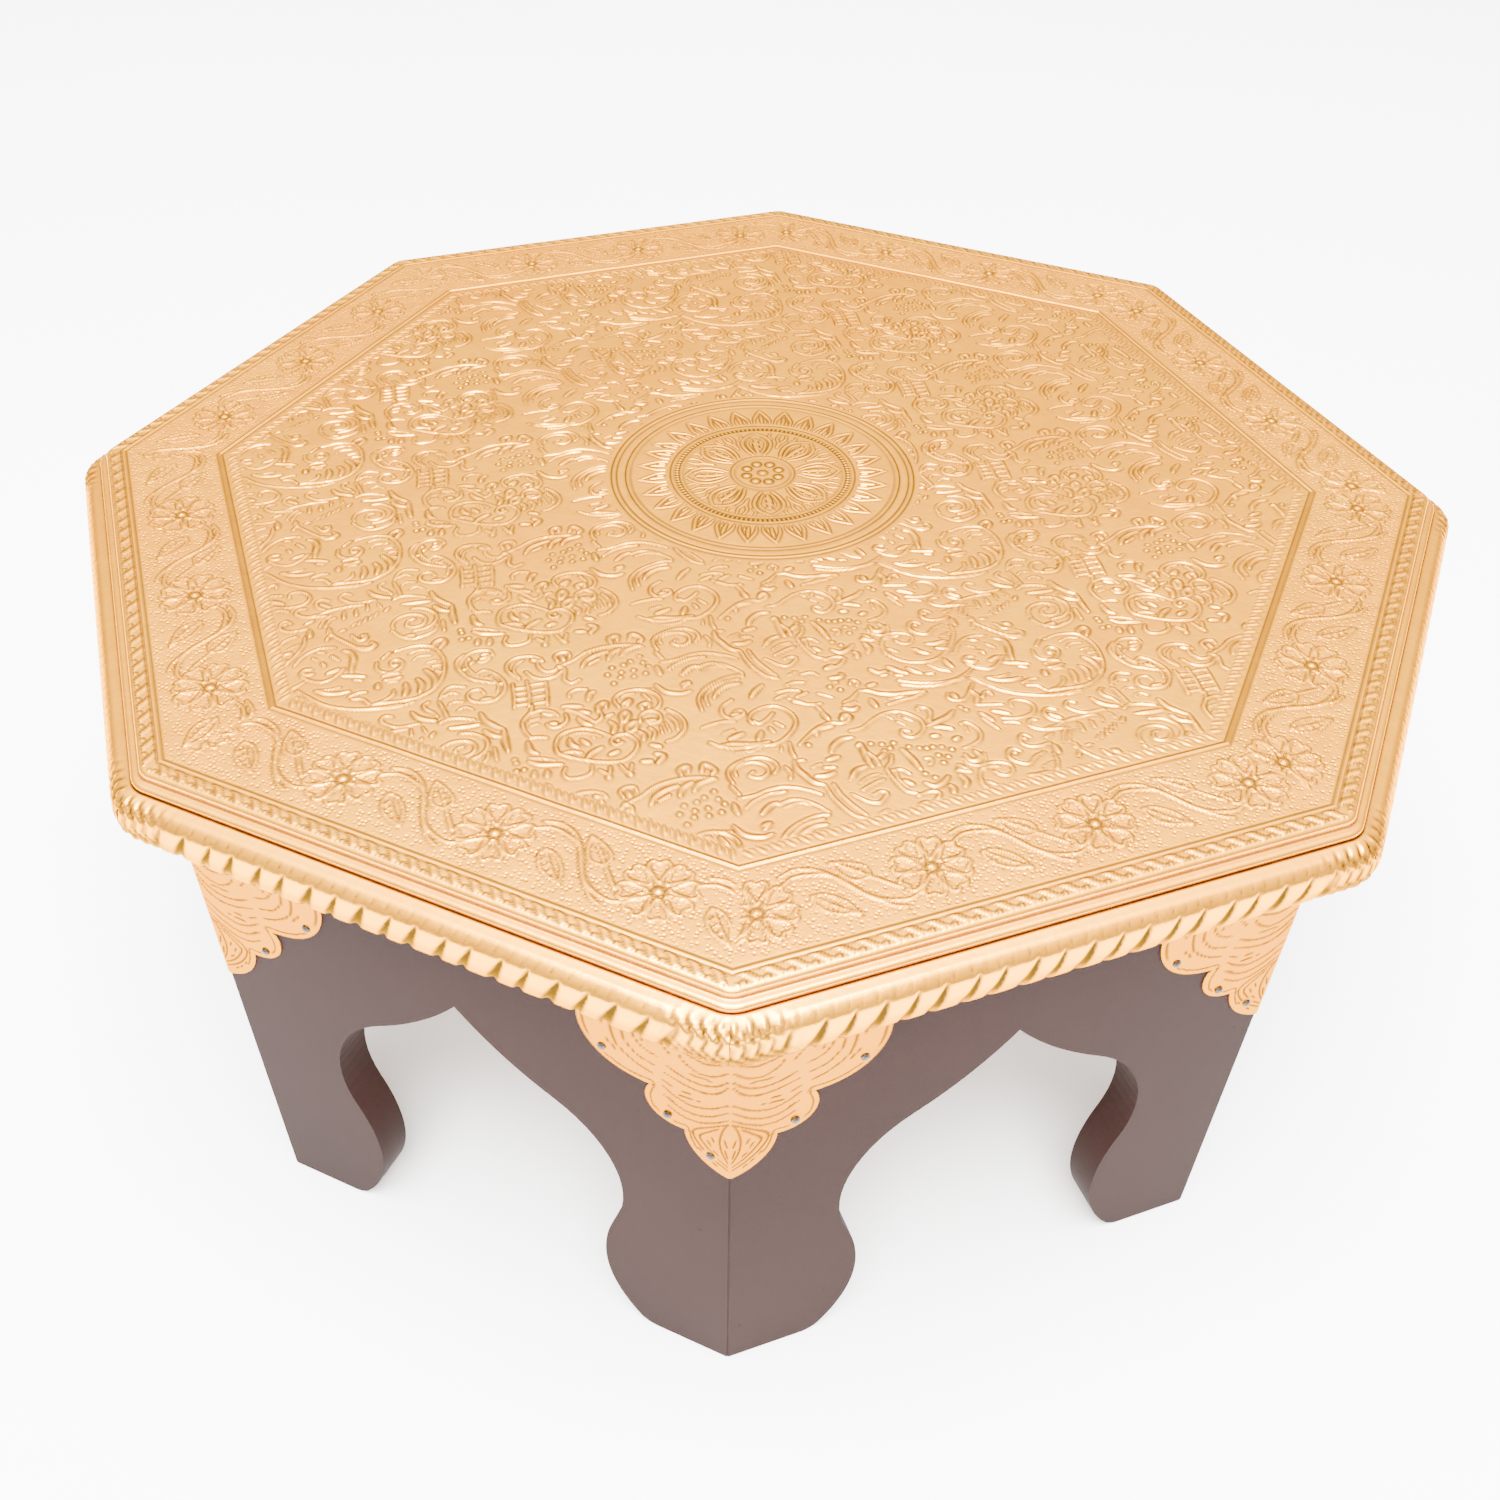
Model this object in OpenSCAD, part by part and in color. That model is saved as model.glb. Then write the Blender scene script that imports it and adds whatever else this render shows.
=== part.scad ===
// Octagonal brass-topped tray table on an arched eight-sided base.
// Millimetres, +Z up. The origin is on the floor under the centre of the top.
// Flat sides face -Y and then every 45 degrees counter-clockwise.

/* [Overall] */
// Width across the flats of the top, over the rolled edge
top_width = 406; // [360:1:500]
// Height from the floor to the raised lines on the top
table_height = 178; // [165:1:240]

/* [Top] */
// Thickness of the wooden top board
board_t = 18; // [17.4:0.1:22]
// Thickness of the brass sheet on the top and at the corners
sheet_t = 0.5; // [0.4:0.1:0.8]
// Height that the raised lines stand above the sheet
relief_h = 0.6; // [0.3:0.1:0.8]
// Width of a raised line
line_w = 1.2; // [0.8:0.1:2]
// Width of the twisted border, from the edge of the flat to the first line
twist_border = 5.5; // [4:0.5:10]
// Width of the flower border, between its two lines
flower_border = 28.6; // [20:0.2:36]
// Radius of the medallion's outer ring
medallion_r = 47; // [40:1:60]
// Gap between the medallion's two outer rings
medallion_gap = 4.4; // [2:0.2:8]
// Radius of the ring round the rosette
rosette_r = 27; // [15:1:28]
// Radius of the medallion's centre boss
boss_r = 9.5; // [5:0.5:12]

/* [Rolled edge] */
// Radius of the half-round roll, over the brass
roll_r = 7.4; // [7:0.1:7.4]
// How far the centre of the roll stands out from the edge of the flat
roll_out = 1.5; // [1.5:0.1:3]
// Radius of the lip at the edge of the flat
lip_r = 1.5; // [1:0.1:2]
// Depth of the narrow step below the flat
step_drop = 2.6; // [2.2:0.1:3.2]
// How far the step stands out from the edge of the flat
step_out = 2.5; // [2:0.1:3]
// Radius of the bead on the edge of the step
bead_r = 1.3; // [1:0.1:1.6]
// Radius in plan of the corners of the flat
corner_r = 6; // [6:0.1:10]
// Width of the edge that is folded under the board, from below the edge of the flat
fold_under = 4.8; // [3:0.1:5.8]
// Gap between the folded edge and the base
fold_gap = 0.3; // [0.1:0.1:2]

/* [Base] */
// Thickness of the side panels
panel_t = 12; // [10:0.5:16]
// Small bevel on the outer mitre edge of each panel
arris = 0.35; // [0.2:0.05:1]

/* [Arch] */
// Width of half a leg at its narrow point, from the corner
leg_w = 39.2; // [32:0.2:44]
// Height of the narrow point
waist_h = 31.5; // [26:0.5:38]
// How much wider the head is than the waist, on each side
head_bulge = 7.2; // [6:0.2:9]
// Height of the widest point of the head
head_h = 67.5; // [60:0.5:75]
// Radius of the shoulders of the head
head_r = 37.8; // [30:0.2:42]
// Height of the pointed tip
tip_h = 123.5; // [118:0.5:130]
// Radius of the hollow curves that run up to the tip
ogee_r = 99; // [80:1:150]
// Radius of the curve from the waist down to the foot
foot_curve_r = 45.4; // [40:0.2:60]
// Radius of the toe
toe_r = 8; // [4:0.5:10]

/* [Corner plates] */
// Height of a corner plate
plate_h = 61; // [58:0.5:75]
// Width of a plate at its top, on each side of the corner
plate_top_w = 42.5; // [42:0.5:50]
// Gap between a plate and the folded edge above it
plate_gap = 0.2; // [0.1:0.1:1]
// Radius of a nail head
nail_head_r = 1.2; // [1:0.1:1.6]
// Height of a nail head
nail_head_h = 0.8; // [0.6:0.1:1]
// Radius of the shank of a nail
nail_r = 0.6; // [0.4:0.1:0.8]
// Length of a nail below its head
nail_len = 9; // [6:0.5:9.5]

/* [Fixings] */
// Height of the blocks glued into the corners
block_h = 30; // [20:1:36]
// Width of a block along each panel
block_w = 30; // [24:1:36]
// Depth of a block at its edges
block_edge = 8; // [6:0.5:12]
// Radius of the screws that hold the top
screw_r = 1.75; // [1.5:0.05:2.2]
// How far a screw reaches into the board
screw_grip = 12; // [8:0.5:14.5]
// Radius of a screw head
screw_head_r = 3.5; // [3:0.1:4]
// Height of a screw head
screw_head_h = 2.2; // [1.8:0.1:2.6]
// Radial clearance of a screw in its block
screw_clear = 0.25; // [0.2:0.05:0.5]
// Distance of a screw from the inner corner of the base
screw_from_corner = 10.5; // [9:0.5:13]
// Number of tacks along each side, under the edge of the top
tacks_per_side = 3; // [2:1:4]
// Length of a tack below its head
tack_len = 7; // [5:0.5:8.5]
// Height of a tack head
tack_head_h = 0.6; // [0.4:0.1:0.8]

/* [Hidden] */
$fn = 96;
SIDES = 8;
STEP_ANGLE = 360 / SIDES;
HALF_ANGLE = STEP_ANGLE / 2;
ARC_STEPS = 14;
// Extra reach of a cutting tool past the face that it cuts
CUT = 1;
// How far the middle of the top runs into its moulded edge
LAP = 1;

function numbered(name) = [for (i = [1:SIDES]) str(name, i)];

BRASS = "#F0C08A";
PAINTED_WOOD = "#8C7670";
RAW_WOOD = "#B98F63";
STEEL = "#B5B0AA";

// Levels
flat_z = table_height - relief_h;
board_top = flat_z - sheet_t;
base_h = board_top - board_t;
fold_z = base_h - sheet_t;
top_depth = flat_z - fold_z;
plate_z = fold_z - plate_gap - plate_h;
block_z = base_h - block_h;

// Plan: each a_ value is the distance from the centre to a flat side
a_flat = top_width / 2 - roll_r - roll_out;
a_back = a_flat - corner_r;
a_fold = a_flat - fold_under;
a_base = a_fold - fold_gap;
a_inner = a_base - panel_t;
a_line_1 = a_flat - twist_border;
a_line_2 = a_line_1 - flower_border;
side_w = 2 * a_base * tan(HALF_ANGLE);
inner_corner = a_inner * [tan(HALF_ANGLE), -1];

// Arch, across from the middle of a panel and up from the floor
waist_x = side_w / 2 - leg_w;
head_c = [waist_x + head_bulge - head_r, head_h];
tip = [0, tip_h];
// The waist curve is tangent to the head curve, where the outline turns from hollow to round
waist_curve_r = (pow(head_bulge, 2) + pow(head_h - waist_h, 2)) / (2 * head_bulge) - head_r;
waist_c = [waist_x + waist_curve_r, waist_h];
foot_c = [waist_x + foot_curve_r, waist_h];
// The toe is tangent to the floor and to the curve above it
toe_reach = sqrt(pow(foot_curve_r - toe_r, 2) - pow(waist_h - toe_r, 2));
toe_c = [foot_c[0] - toe_reach, toe_r];
// The hollow curve passes through the tip and is tangent to the head curve
tip_gap = norm(tip - head_c);
tip_dir = (tip - head_c) / tip_gap;
ogee_along = (pow(head_r + ogee_r, 2) - pow(ogee_r, 2) + pow(tip_gap, 2)) / (2 * tip_gap);
ogee_across = sqrt(pow(head_r + ogee_r, 2) - pow(ogee_along, 2));
ogee_c = head_c + ogee_along * tip_dir + ogee_across * [tip_dir[1], -tip_dir[0]];

// Half a corner plate: distance from the corner, and height above the plate's point
notch_1 = [12.5, 14.8];
notch_2 = [21.5, 28.2];
tail = [41, 47];
lobe_bulges = [3.3, 5.7, 6.5];
// How far a leaf reaches past the corner to meet the other one
fold_reach = sheet_t * tan(HALF_ANGLE);

// Nails of a plate; the lowest is on one leaf only
LEFT = -1;
RIGHT = 1;
nail_low = [5.2, 7.1];
nail_mid = [17, 17.6];
nail_high = [34.5, 35.5];
NAILS = [
    [LEFT, nail_low], [LEFT, nail_mid], [LEFT, nail_high],
    [RIGHT, nail_mid], [RIGHT, nail_high]
];

function heading(v) = atan2(v[1], v[0]);

// Points of an arc; first = 1 leaves out the starting point, where the outline already is
function arc(c, r, from, to, first = 1) = [
    for (i = [first:ARC_STEPS])
        let (a = from + (to - from) * i / ARC_STEPS)
        c + r * [cos(a), sin(a)]
];

// Points of an arc from p to q that bulges by s, to the right of the way from p to q
function bulged(p, q, s) =
    let (chord = norm(q - p),
         r = (pow(chord / 2, 2) + s * s) / (2 * s),
         out = [q[1] - p[1], p[0] - q[0]] / chord,
         c = (p + q) / 2 + (s - r) * out,
         from = heading(p - c),
         turn = heading(q - c) - from)
    arc(c, r, from, from + (turn < 0 ? turn + 360 : turn));

// Right half of the arch, from the tip down to the floor
arch_half = concat(
    arc(ogee_c, ogee_r, heading(tip - ogee_c), heading(head_c - ogee_c), 0),
    arc(head_c, head_r, heading(ogee_c - head_c), heading(waist_c - head_c)),
    arc(waist_c, waist_curve_r, heading(head_c - waist_c), 180),
    arc(foot_c, foot_curve_r, 180, 360 + heading(toe_c - foot_c)),
    arc(toe_c, toe_r, 360 + heading(toe_c - foot_c), 270)
);

plate_half = concat(
    [[-fold_reach, fold_reach], [0, 0]],
    bulged([0, 0], notch_1, lobe_bulges[0]),
    bulged(notch_1, notch_2, lobe_bulges[1]),
    bulged(notch_2, tail, lobe_bulges[2]),
    [[plate_top_w, plate_h], [-fold_reach, plate_h]]
);

// Octagon with its flat sides at distance a from the centre
module octagon(a) {
    polygon([
        for (i = [0:SIDES - 1])
            let (angle = HALF_ANGLE + i * STEP_ANGLE)
            a / cos(HALF_ANGLE) * [cos(angle), sin(angle)]
    ]);
}

// Turns children made for the side that faces -Y to side i
module on_side(i) {
    rotate([0, 0, (i - 1) * STEP_ANGLE]) children();
}

// Stands a flat outline up with its back at distance a from the centre and its face t further out
module upright(a, t) {
    translate([0, -a, 0]) rotate([90, 0, 0]) linear_extrude(t) children();
}

// Filled section of the moulded edge, skin below its outer surface.
// Across is outwards from the edge of the flat, and up is from the flat.
module edge_section(skin) {
    bead_x = step_out - bead_r;
    translate([-corner_r, skin - top_depth]) square([corner_r - skin, top_depth - skin - lip_r]);
    translate([-corner_r, -lip_r]) square([corner_r - lip_r, lip_r - skin]);
    translate([-lip_r, -lip_r]) circle(lip_r - skin);
    translate([-corner_r, roll_r - top_depth])
        square([corner_r + bead_x - skin, top_depth - roll_r - step_drop - skin]);
    translate([bead_x, -step_drop - bead_r]) circle(bead_r - skin);
    translate([-corner_r, skin - top_depth]) square([corner_r + roll_out, roll_r]);
    translate([roll_out, roll_r - top_depth]) circle(roll_r - skin);
}

// Section of the brass over the moulded edge, open underneath inside the fold
module brass_section() {
    difference() {
        edge_section(0);
        edge_section(sheet_t);
        translate([-corner_r - CUT, -top_depth - CUT])
            square([corner_r + CUT - fold_under, sheet_t + 2 * CUT]);
    }
}

// Carries a section of the edge round the top, with round corners
module carried_round() {
    run = 2 * a_back * tan(HALF_ANGLE);
    for (i = [1:SIDES]) on_side(i) translate([run / 2, -a_back, flat_z]) {
        rotate([90, 0, -90]) linear_extrude(run) translate([corner_r, 0]) children();
        rotate([0, 0, -90]) rotate_extrude(angle = STEP_ANGLE) translate([corner_r, 0]) children();
    }
}

// Raised line round the top along an octagon
module line_round(a) {
    linear_extrude(relief_h + sheet_t / 2) difference() {
        octagon(a + line_w / 2);
        octagon(a - line_w / 2);
    }
}

// Raised ring on the top
module ring(r) {
    linear_extrude(relief_h + sheet_t / 2) difference() {
        circle(r + line_w / 2);
        circle(r - line_w / 2);
    }
}

// Pin that points down from a flat-based head at the origin
module pin(head_r, head_h, shank_r, len) {
    rotate_extrude() polygon([
        [0, head_h], [head_r * 0.55, head_h * 0.85], [head_r, head_h * 0.3], [head_r, 0],
        [shank_r, 0], [shank_r, 2 * shank_r - len], [0, -len]
    ]);
}

// Places of the nails of one leaf that go into a side, pointing into it
module at_nails(leaf) {
    for (nail = NAILS) if (nail[0] == leaf)
        translate([-nail[0] * (side_w / 2 - nail[1][0]), -a_base - sheet_t, plate_z + nail[1][1]])
            rotate([90, 0, 0]) children();
}

// Places of the tacks under one side, pointing up
module at_tacks() {
    pitch = side_w / (tacks_per_side + 1);
    for (k = [1:tacks_per_side])
        translate([k * pitch - side_w / 2, -(a_flat + a_fold) / 2, fold_z])
            rotate([180, 0, 0]) children();
}

// Place of the screw at the right-hand end of a side, pointing up
module at_screw() {
    place = inner_corner - screw_from_corner * inner_corner / norm(inner_corner);
    translate([place[0], place[1], block_z]) rotate([180, 0, 0]) children();
}

module bore(r, len) {
    translate([0, 0, -len]) cylinder(r = r, h = len + CUT);
}

// Wooden board with its moulded edge
module top_board() {
    color(RAW_WOOD) difference() {
        union() {
            translate([0, 0, base_h]) linear_extrude(board_t) octagon(a_back + LAP);
            carried_round() edge_section(sheet_t);
        }
        for (i = [1:SIDES]) on_side(i) {
            at_screw() bore(screw_r, block_h + screw_grip);
            at_tacks() bore(nail_r, tack_len);
        }
    }
}

// Brass sheet over the board, its roll and its folded edge, with raised lines and rings
module brass_top() {
    color(BRASS) difference() {
        union() {
            translate([0, 0, board_top]) linear_extrude(sheet_t) octagon(a_back + LAP);
            carried_round() brass_section();
            translate([0, 0, flat_z - sheet_t / 2]) {
                line_round(a_line_1);
                line_round(a_line_2);
                ring(medallion_r);
                ring(medallion_r - medallion_gap);
                ring(rosette_r);
                ring(boss_r);
            }
        }
        for (i = [1:SIDES]) on_side(i) at_tacks() bore(nail_r, tack_len / 2);
    }
}

// One side of the base, mitred at both ends, with its arch
module side_panel(i) {
    outline = concat(
        [[side_w / 2, 0], [side_w / 2, base_h], [-side_w / 2, base_h], [-side_w / 2, 0]],
        [for (k = [len(arch_half) - 1:-1:1]) [-arch_half[k][0], arch_half[k][1]]],
        arch_half
    );
    corner = [side_w / 2, -a_base];
    bevelled = corner * (1 - arris / norm(corner));
    plan_half = [[corner[0] - arris, corner[1]], bevelled, inner_corner];
    color(PAINTED_WOOD) on_side(i) difference() {
        intersection() {
            upright(a_inner, panel_t) polygon(outline);
            linear_extrude(base_h) polygon(concat(
                plan_half,
                [for (k = [2:-1:0]) [-plan_half[k][0], plan_half[k][1]]]
            ));
        }
        at_nails(LEFT) bore(nail_r, nail_len);
        at_nails(RIGHT) bore(nail_r, nail_len);
    }
}

// Brass plate folded over the corner between side i and the next one
module corner_plate(i) {
    color(BRASS) difference() {
        union() {
            on_side(i) translate([side_w / 2, 0, plate_z])
                upright(a_base, sheet_t) mirror([1, 0]) polygon(plate_half);
            on_side(i + 1) translate([-side_w / 2, 0, plate_z])
                upright(a_base, sheet_t) polygon(plate_half);
        }
        on_side(i) at_nails(LEFT) bore(nail_r, nail_len);
        on_side(i + 1) at_nails(RIGHT) bore(nail_r, nail_len);
    }
}

// Block glued into the corner between side i and the next one, under the board
module corner_block(i) {
    along = [cos(STEP_ANGLE), sin(STEP_ANGLE)];
    end_1 = inner_corner - [block_w, 0];
    end_2 = inner_corner + block_w * along;
    color(RAW_WOOD) on_side(i) difference() {
        translate([0, 0, block_z]) linear_extrude(block_h) polygon([
            inner_corner, end_2, end_2 + block_edge * [-along[1], along[0]],
            end_1 + [0, block_edge], end_1
        ]);
        at_screw() bore(screw_r + screw_clear, block_h + CUT);
    }
}

module block_screws() {
    color(STEEL) for (i = [1:SIDES]) on_side(i)
        at_screw() pin(screw_head_r, screw_head_h, screw_r, block_h + screw_grip);
}

// The five nails of corner plate i
module plate_nails(i) {
    color(STEEL) {
        on_side(i) at_nails(LEFT) pin(nail_head_r, nail_head_h, nail_r, nail_len);
        on_side(i + 1) at_nails(RIGHT) pin(nail_head_r, nail_head_h, nail_r, nail_len);
    }
}

module rim_tacks() {
    color(STEEL) for (i = [1:SIDES]) on_side(i)
        at_tacks() pin(nail_head_r, tack_head_h, nail_r, tack_len);
}

top_board();
brass_top();
for (i = [1:SIDES]) {
    side_panel(i);
    corner_plate(i);
    plate_nails(i);
    corner_block(i);
}
block_screws();
rim_tacks();
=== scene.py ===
"""Looks of the octagonal brass tray table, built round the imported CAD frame.

The embossed sheet, its rolled edge and the corner plates are new surfaces that stand for the
plain CAD ones. A pattern is a set of hammered strokes, turned once into a map of heights, which
each surface reads at its own points. Shapes are worked out in millimetres; meshes are in metres.
"""

import math

import bpy
import numpy as np
from mathutils import Matrix, Vector


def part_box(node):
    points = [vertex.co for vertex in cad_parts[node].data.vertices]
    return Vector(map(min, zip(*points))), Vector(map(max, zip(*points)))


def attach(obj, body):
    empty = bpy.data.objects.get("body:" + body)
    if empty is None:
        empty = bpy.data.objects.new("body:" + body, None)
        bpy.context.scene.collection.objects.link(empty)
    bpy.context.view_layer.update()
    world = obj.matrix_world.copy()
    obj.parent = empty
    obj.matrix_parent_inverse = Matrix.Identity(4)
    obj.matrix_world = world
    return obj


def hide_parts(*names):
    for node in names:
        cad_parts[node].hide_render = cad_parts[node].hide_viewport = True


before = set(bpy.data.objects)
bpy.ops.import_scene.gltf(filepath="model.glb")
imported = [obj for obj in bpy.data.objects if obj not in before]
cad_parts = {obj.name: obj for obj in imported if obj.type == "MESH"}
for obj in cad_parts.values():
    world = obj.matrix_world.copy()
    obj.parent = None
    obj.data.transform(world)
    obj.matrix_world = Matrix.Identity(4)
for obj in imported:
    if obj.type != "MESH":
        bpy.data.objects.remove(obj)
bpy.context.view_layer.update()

MM = 0.001
SIDES = 8
STEP = math.pi / 4
HALF = STEP / 2
TAN_HALF = math.tan(HALF)

# ---------------------------------------------------------------- sizes
# From the frame, in mm. A size that ends in _A runs from the table's axis square to a side.
top_low, top_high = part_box("brass_top")
TOP_Z = top_high[2] / MM
OUT_A = top_high[0] / MM
FOLD_Z = top_low[2] / MM
plate_low, plate_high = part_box("corner_plate_1")
PLATE_Z = plate_low[2] / MM
PLATE_H = plate_high[2] / MM - PLATE_Z
BASE_A = -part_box("side_panel_1")[0][1] / MM
BASE_W = 2 * BASE_A * TAN_HALF

# The brass, as in the part's source: the room for relief over the flat, the sheet, the roll and
# how far its middle stands out from the edge of the flat, the lip and the step under it, the
# bead on the step, the round corners, and the fold under the board.
RELIEF = 0.6
SHEET = 0.5
ROLL_R = 7.4
ROLL_OUT = 1.5
LIP_R = 1.5
STEP_DROP = 2.6
BEAD_R = 1.3
BEAD_OUT = 1.2
CORNER_R = 6.0
FOLD_UNDER = 4.8
FLAT_Z = TOP_Z - RELIEF
EDGE_DEPTH = FLAT_Z - FOLD_Z
FLAT_A = OUT_A - ROLL_R - ROLL_OUT
BACK_A = FLAT_A - CORNER_R

# Bands of the flat: the outer and the inner line, the middle of the flowers between them, and
# where the medallion's disc ends.
OUTER_LINE_A = FLAT_A - 5.5
INNER_LINE_A = OUTER_LINE_A - 28.6
FLOWER_A = INNER_LINE_A + 14.3
MEDALLION_END = 49.5

# Height of a hammered ridge, depth of the crease round it, and spacing of a map's points.
RIDGE_H = 0.42
CREASE_DEPTH = 0.14
GRID = 0.2

# Half-widths of the strokes of the scrolls: at the ends, and in the middle.
LEAF_W = (0.42, 0.78)
SCROLL_W = (0.44, 0.55)
FINE_W = (0.34, 0.42)
SEED_W = (0.66, 0.66)

# One repeat of the scrolls: its two sides, and how far it is turned on the top.
REPEAT = (167.88, 56.82)
REPEAT_TURN = math.radians(46.4)

# The borders: the spacing of the flowers, the first one of each side from the side's middle, the
# width of their band, the spacing of the leaves and of the twists, and how far to the left of the
# side's middle both of those are counted from.
FLOWER_PITCH = 43.4
FLOWER_START = (-34.0, -67.2, -67.2, -67.2, -62.0, -56.0, -40.3, -34.1)
FLOWER_BAND = 24.0
LEAF_PITCH = 3.5
TWIST_PITCH = 5.6
ROW_START = 100.0

# The medallion, from the outside in: its raised rings as radius, half-width and height; the
# pointed leaves, how many, where their bases stand and where their spacing is true; the beads, how
# many and where; and the bosses, one in the middle and eight round it, how high and where.
RINGS = ((47.0, 0.62, 0.36), (42.6, 0.6, 0.26), (28.5, 0.55, 0.22), (25.7, 0.5, 0.22),
         (9.5, 0.6, 0.26))
SUN_LEAVES = 29
SUN_START = 30.3
SUN_R = 34.7
BEADS = 118
BEADS_R = 27.1
BOSS_H = 0.36
BOSSES_R = 5.4

# The roll: spacing of its notches, how far they lean along for each mm of height, how deep they
# go where the roll is widest, how far it swells elsewhere, and the reach of the corner's folds.
NOTCH_PITCH = 7.4
NOTCH_LEAN = 0.45
NOTCH_DEPTH = 0.32
SWELL = 0.5
GATHER = 6.5

# Grids: columns across a side, along the edge and round half a corner, spacing of the rows, rings
# of the medallion, where the field's columns double, and where the edge's rows start.
SIDE_COLUMNS = 280
RIM_COLUMNS = 280
CORNER_COLUMNS = 12
INNER_ROW = 0.44
OUTER_ROW = 0.42
BORDER_ROW = 0.45
MEDALLION_RINGS = 88
JOIN_A = 105.0
RIM_START = -5.0


# ---------------------------------------------------------------- small tools
def smooth(x, low, high):
    """0 below low, 1 above high, and 3t^2 - 2t^3 between, where t runs from 0 to 1."""
    t = np.clip((x - low) / (high - low), 0, 1)
    return t * t * (3 - 2 * t)


def between(x, a, b, c, d):
    """Rises smoothly from 0 to 1 between a and b, and falls back between c and d."""
    return smooth(x, a, b) * (1 - smooth(x, c, d))


def hump(x, width):
    """A bell of height 1: e to the power of minus the square of x over width."""
    return np.exp(-(x / width) ** 2)


def flowing(points, gap=0.15):
    """Points every gap along a Catmull-Rom curve through the given points."""
    p = np.asarray(points, float)
    if len(p) == 1:
        return p
    p = np.vstack([2 * p[0] - p[1], p, 2 * p[-1] - p[-2]])
    parts = []
    for a, b, c, d in zip(p[:-3], p[1:-2], p[2:-1], p[3:]):
        t = np.linspace(0, 1, max(2, int(np.hypot(*(c - b)) / gap)), endpoint=False)[:, None]
        parts.append(0.5 * (2 * b + (c - a) * t + (2 * a - 5 * b + 4 * c - d) * t ** 2
                            + (3 * b - a - 3 * c + d) * t ** 3))
    return np.vstack(parts + [p[-2:-1]])


def strokes_to_map(size, strokes, origin=(0.0, 0.0)):
    """Height and crease of hammered strokes on a grid that repeats after size.

    Each stroke is (points, (end half-width, middle half-width)). d is the distance to the
    nearest stroke over its half-width there. A ridge stands RIDGE_H (1 - d^2)^1.6 high inside
    d = 1, and a crease of bell section runs round it at d = 1.3.
    """
    columns, rows = (int(round(length / GRID)) for length in size)
    near = np.full((rows, columns), 9.0)
    for points, (end, middle) in strokes:
        line = flowing(points)
        t = np.linspace(0, 1, len(line))
        width = end + (middle - end) * np.sin(math.pi * t) ** 0.6 if len(line) > 1 else [middle]
        line = (line - origin) / GRID
        reach = 2.6 * middle / GRID
        low = np.floor(line.min(0) - reach).astype(int)
        high = np.ceil(line.max(0) + reach).astype(int)
        x = np.arange(low[0], min(high[0], low[0] + columns - 1) + 1)
        y = np.arange(low[1], min(high[1], low[1] + rows - 1) + 1)
        d = np.full((len(y), len(x)), 9.0)
        for (px, py), w in zip(line, width):
            d = np.minimum(d, np.hypot(x[None, :] - px, y[:, None] - py) * (GRID / w))
        where = np.ix_(y % rows, x % columns)
        near[where] = np.minimum(near[where], d)
    # the crease is a groove round each ridge, and also the mask of painted shade in the brass
    crease = hump(near - 1.3, 0.42)
    height = RIDGE_H * np.clip(1 - near ** 2, 0, 1) ** 1.6 - CREASE_DEPTH * crease
    return np.stack([height, crease], 2)


def read_map(table, x, y):
    """Values of a repeating map at x and y in mm, in proportion between the four grid points."""
    rows, columns = table.shape[:2]
    u, v = x / GRID, y / GRID
    i, j = np.floor(u).astype(int), np.floor(v).astype(int)
    f, g = (u - i)[..., None], (v - j)[..., None]
    i0, i1, j0, j1 = i % columns, (i + 1) % columns, j % rows, (j + 1) % rows
    return ((table[j0, i0] * (1 - f) + table[j0, i1] * f) * (1 - g)
            + (table[j1, i0] * (1 - f) + table[j1, i1] * f) * g)


def facing(side):
    """Direction that a side faces, as an angle round the table."""
    return -math.pi / 2 + (side - 1) * STEP


def on_side(side, along, out):
    """Plan position of a point that is out from the centre towards a side, and along it."""
    c, s = math.cos(facing(side)), math.sin(facing(side))
    return out * c - along * s, out * s + along * c


def grid_faces(rows, columns, first=0):
    """Corner numbers of a grid's quads. They face up where the rows go outwards on a side and the
    columns go along it."""
    n = first + np.arange(rows * columns).reshape(rows, columns)
    return np.stack([n[1:, :-1], n[1:, 1:], n[:-1, 1:], n[:-1, :-1]], 2).reshape(-1, 4)


def outward(points, faces, way):
    """The faces, turned round if most of them look against way."""
    a, b, c = (points[faces[:, k]] for k in range(3))
    look = np.cross(b - a, c - a).sum(0) @ np.asarray(way, float)
    return faces if look > 0 else faces[:, ::-1]


def brass_piece(name, points, faces, brass, stands_for, crease, ground=0.0):
    """Makes a mesh of points in mm and corner numbers, and shows it for a node of the frame. It
    keeps crease and ground at each point, for the material: painted shade in the creases, and a darker
    ground."""
    mesh = bpy.data.meshes.new(name)
    mesh.vertices.add(len(points))
    mesh.vertices.foreach_set("co", (points * MM).astype(np.float32).ravel())
    mesh.loops.add(faces.size)
    mesh.loops.foreach_set("vertex_index", faces.astype(np.int32).ravel())
    mesh.polygons.add(len(faces))
    mesh.polygons.foreach_set("loop_start", np.arange(0, faces.size, faces.shape[1], np.int32))
    mesh.update(calc_edges=True)
    mesh.polygons.foreach_set("use_smooth", np.ones(len(faces), bool))
    for label, values in (("crease", crease), ("ground", ground)):
        layer = mesh.attributes.new(label, "FLOAT", "POINT")
        layer.data.foreach_set("value", np.full(len(points), np.ravel(values), np.float32))
    mesh.validate()
    mesh.materials.append(brass)
    thing = bpy.data.objects.new(name, mesh)
    bpy.context.scene.collection.objects.link(thing)
    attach(thing, "root")
    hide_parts(stands_for)


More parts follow.
